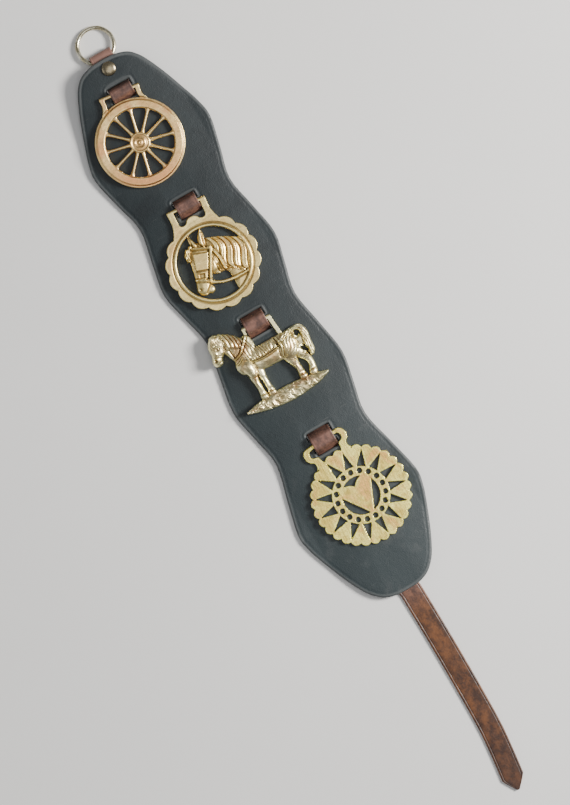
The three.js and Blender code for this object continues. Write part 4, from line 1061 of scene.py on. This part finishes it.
def strap_leather():
    """Mottled brown leather: redder on the loops, orange on the tail, pale on the fold."""
    n = Nodes("strap_leather")
    bend, edge = n.attribute("bend"), n.attribute("edge")
    up = n.height("Y")
    tail = n.span(up, -0.16, -0.20)
    blotch = n.span(n.noise(130, 6, 0.78, (1, 0.7, 1), 0, 0.15), 0.36, 0.66)
    brown = n.mix(blotch, (0.070, 0.037, 0.030), (0.215, 0.105, 0.075))
    orange = n.mix(blotch, (0.038, 0.016, 0.009), (0.150, 0.057, 0.019))
    crease = n.math("MULTIPLY", n.span(edge, 0.75, 0.79), n.span(edge, 0.79, 0.83, 1, 0))
    colour = n.over(
        n.mix(tail, brown, orange),
        (n.span(n.noise(260, 3, 0.6), 0.55, 0.72, 0, 0.35), (0.022, 0.012, 0.010)),
        (n.span(up, -0.26, -0.37, 0, 0.5), (0.030, 0.017, 0.015)),
        (n.span(bend, 0.15, 0.8, 0, 0.45), (0.075, 0.042, 0.034)),
        (n.span(up, 0.322, 0.334, 0, 0.6), (0.30, 0.165, 0.130)),
        # painted highlight along both edges of the strap
        (n.span(edge, 0.955, 0.99, 0, 0.5), (0.30, 0.15, 0.09)),
        (n.math("MULTIPLY", crease, n.span(tail, 0, 1, 0.15, 0.7)), (0.012, 0.007, 0.006)))
    rough = n.span(n.noise(180, 4), 0.3, 0.7, 0.36, 0.52)
    normal = n.bump(n.noise(520, 4, 0.6), 0.00012, n.bump(n.noise(110, 3), 0.0004))
    n.set(Base_Color=colour, Roughness=rough, Normal=normal, Specular_IOR_Level=0.35)
    return n.material


def plated(name, pale, deep, dark):
    """Pale plating worn through to a yellower metal, as on the ring and the rivet."""
    n = Nodes(name)
    colour = n.mix(n.span(n.noise(160, 4, 0.6), 0.38, 0.66), deep, pale)
    colour = n.mix(n.span(n.noise(620, 3, 0.7), 0.6, 0.74, 0, 0.22), colour, dark)
    rough = n.span(n.noise(420, 4, 0.6), 0.3, 0.7, 0.2, 0.32)
    n.set(Base_Color=colour, Roughness=rough, Metallic=1.0, Normal=n.bump(n.noise(700, 3), 0.00004))
    return n.material


# ---- the pieces in place


def box_mm(node):
    low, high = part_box(node)
    return np.array(low) / MM, np.array(high) / MM


backing_low, backing_high = box_mm("backing")
SHIFT_X = (backing_low[0] + backing_high[0]) / 2 - BACKING_X
SHIFT_Y = box_mm("strap")[0][1] - TAIL_TIP
LEATHER = Matrix.Translation(Vector((SHIFT_X, SHIFT_Y, 0)) * MM)


def hinge_matrix(position, axis):
    """Where a brass lies, from its hinge line."""
    x_axis = -Vector(axis).normalized()
    slope = math.atan2(axis[2], axis[1]) if abs(axis[2]) > 1e-6 else 0.0
    z_axis = Vector((0, -math.sin(slope), math.cos(slope)))
    turn = Matrix((x_axis, z_axis.cross(x_axis), z_axis)).transposed().to_4x4()
    return Matrix.Translation(Vector(position)) @ turn


JOINT = {j["child"]: hinge_matrix(j["pos_m"], j["axis"]) for j in frame["joints"]}
HORSE_TURN = math.radians(-2)
HORSE_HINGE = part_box("standing_horse_brass")[0] + Vector((48.07, 70.62, 1.5)) * MM
HORSE_PLACE = hinge_matrix(HORSE_HINGE, (-math.cos(HORSE_TURN), -math.sin(HORSE_TURN), 0))


def finished(obj, body, node, material):
    obj.data.materials.append(material)
    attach(obj, body)
    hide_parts(node)


WHEEL_BRASS = brass(
    "wheel_brass", (0.96, 0.68, 0.30), (0.80, 0.50, 0.20), (0.74, 0.34, 0.14), (0.20, 0.11, 0.05),
    age=0.4, tinted=(0.49, 0.64), blush=(JOINT["wheel"] @ Vector((-0.006, -0.083, 0)), 0.060),
    clean=(JOINT["wheel"] @ Vector((0, -0.043, 0)), 0.022))
HEAD_BRASS = brass(
    "head_brass", (0.91, 0.71, 0.30), (0.78, 0.57, 0.22), (0.76, 0.46, 0.18), (0.15, 0.10, 0.04), age=0.6)
HORSE_BRASS = brass(
    "horse_brass", (0.99, 0.88, 0.49), (0.78, 0.63, 0.31), (0.66, 0.38, 0.18), (0.13, 0.08, 0.035),
    age=0.9, tinted=(0.5, 0.66))
HEART_BRASS = brass(
    "heart_brass", (0.98, 0.85, 0.24), (0.74, 0.55, 0.13), (0.82, 0.41, 0.13), (0.14, 0.08, 0.04),
    age=0.12, shine=0.24, tinted=(0.49, 0.63), brushed=True)

for name, shape, step, box, matrix, body, node, slot, material in (
    ("wheel", wheel_shape, 0.29, (-38.5, -82.5, 38.5, 2.4), JOINT["wheel"],
     "wheel", "wheel_brass", "wheel_brass_metal", WHEEL_BRASS),
    ("horse_head", head_shape, 0.31, (-41, -92.6, 41, 2.4), JOINT["horse_head"],
     "horse_head", "horse_head_brass", "head_brass_metal", HEAD_BRASS),
    ("standing_horse", horse_shape, 0.28, (-50, -72.6, 36, 10), HORSE_PLACE,
     "martingale", "standing_horse_brass", "horse_brass_metal", HORSE_BRASS),
    ("heart", heart_shape, 0.4, (-43.4, -99.6, 43.4, 1.8), JOINT["heart"],
     "heart", "heart_brass", "heart_brass_metal", HEART_BRASS),
):
    casting = placed(name + "_casting", relief(name + "_relief", shape, box, step), matrix)
    finished(casting, body, node, material)

backing = relief("backing", backing_shape, (-58.5, -252.4, 57, 254.9), 1.05, 1.8)
finished(placed("leather_backing", backing, LEATHER, 50), "martingale", "backing",
         backing_leather())
finished(placed("leather_strap", strap_mesh(), LEATHER, 50), "martingale", "strap",
         strap_leather())

ring_low, ring_high = box_mm("ring")
ring_tilt = Matrix.Rotation(-math.asin((RING_FOOT - WIRE) / (2 * RING_RADIUS)), 4, "X")
ring_place = Matrix.Translation(Vector((ring_low + ring_high) / 2) * MM) @ ring_tilt
finished(placed("hanging_ring", ring_mesh(), ring_place, 60), "martingale", "ring",
         plated("ring_metal", (0.72, 0.68, 0.53), (0.52, 0.46, 0.30), (0.20, 0.16, 0.09)))

rivet_seat = Vector((RIVET_X + SHIFT_X, RIVET_Y + SHIFT_Y, UNDERSIDE + BACKING_THICKNESS + lift(RIVET_Y)))
rivet_tilt = Matrix.Rotation(math.atan(lift(RIVET_Y + 0.5) - lift(RIVET_Y - 0.5)), 4, "X")
rivet_place = Matrix.Translation(rivet_seat * MM) @ rivet_tilt
finished(placed("domed_rivet", rivet_mesh(), rivet_place, 50), "martingale", "rivet",
         plated("rivet_metal", (0.34, 0.29, 0.19), (0.25, 0.20, 0.12), (0.12, 0.09, 0.05)))

# ---- floor, light and camera
FLOOR = 4000


def floor():
    corners = [[x, y, -0.2] for x, y in ((-FLOOR, -FLOOR), (FLOOR, -FLOOR), (FLOOR, FLOOR), (-FLOOR, FLOOR))]
    obj = added("floor", plain_mesh("floor", corners, [(0, 1, 2, 3)]))
    n = Nodes("floor_paint")
    n.set(Base_Color=n.mix(n.noise(6, 4), (0.76, 0.75, 0.73), (0.82, 0.81, 0.79)), Roughness=0.8)
    obj.data.materials.append(n.material)


def lamp(name, position, size, watts, colour=(1, 1, 1)):
    """A square soft light that faces the middle of the object."""
    data = bpy.data.lights.new(name, "AREA")
    data.shape = "RECTANGLE"
    data.size, data.size_y = size, size
    data.energy = watts
    data.color = colour
    obj = added(name, data)
    obj.location = position
    obj.rotation_euler = (-Vector(position)).to_track_quat("-Z", "Y").to_euler()


floor()
lamp("key", (1.5, -0.3, 1.2), 0.55, 76, (1.0, 0.98, 0.95))
lamp("overhead", (0.15, -0.22, 2.4), 1.5, 12)
lamp("fill", (-1.8, 0.5, 1.2), 1.2, 4, (0.95, 0.97, 1.0))
world = bpy.data.worlds.new("studio")
world.use_nodes = True
sky = world.node_tree.nodes["Background"].inputs
sky["Color"].default_value = (0.86, 0.88, 0.92, 1)
sky["Strength"].default_value = 0.28
bpy.context.scene.world = world

CAMERA_HEIGHT = 2.2
FIELD_HEIGHT = 0.6649
camera_data = bpy.data.cameras.new("camera")
camera_data.sensor_width = 36
camera_data.lens = 36 * CAMERA_HEIGHT / FIELD_HEIGHT
camera = added("camera", camera_data)
camera.location = (-0.0105, 0.0117, CAMERA_HEIGHT + 0.006)
camera.rotation_euler = (0, 0, math.radians(-30.05))
bpy.context.scene.camera = camera
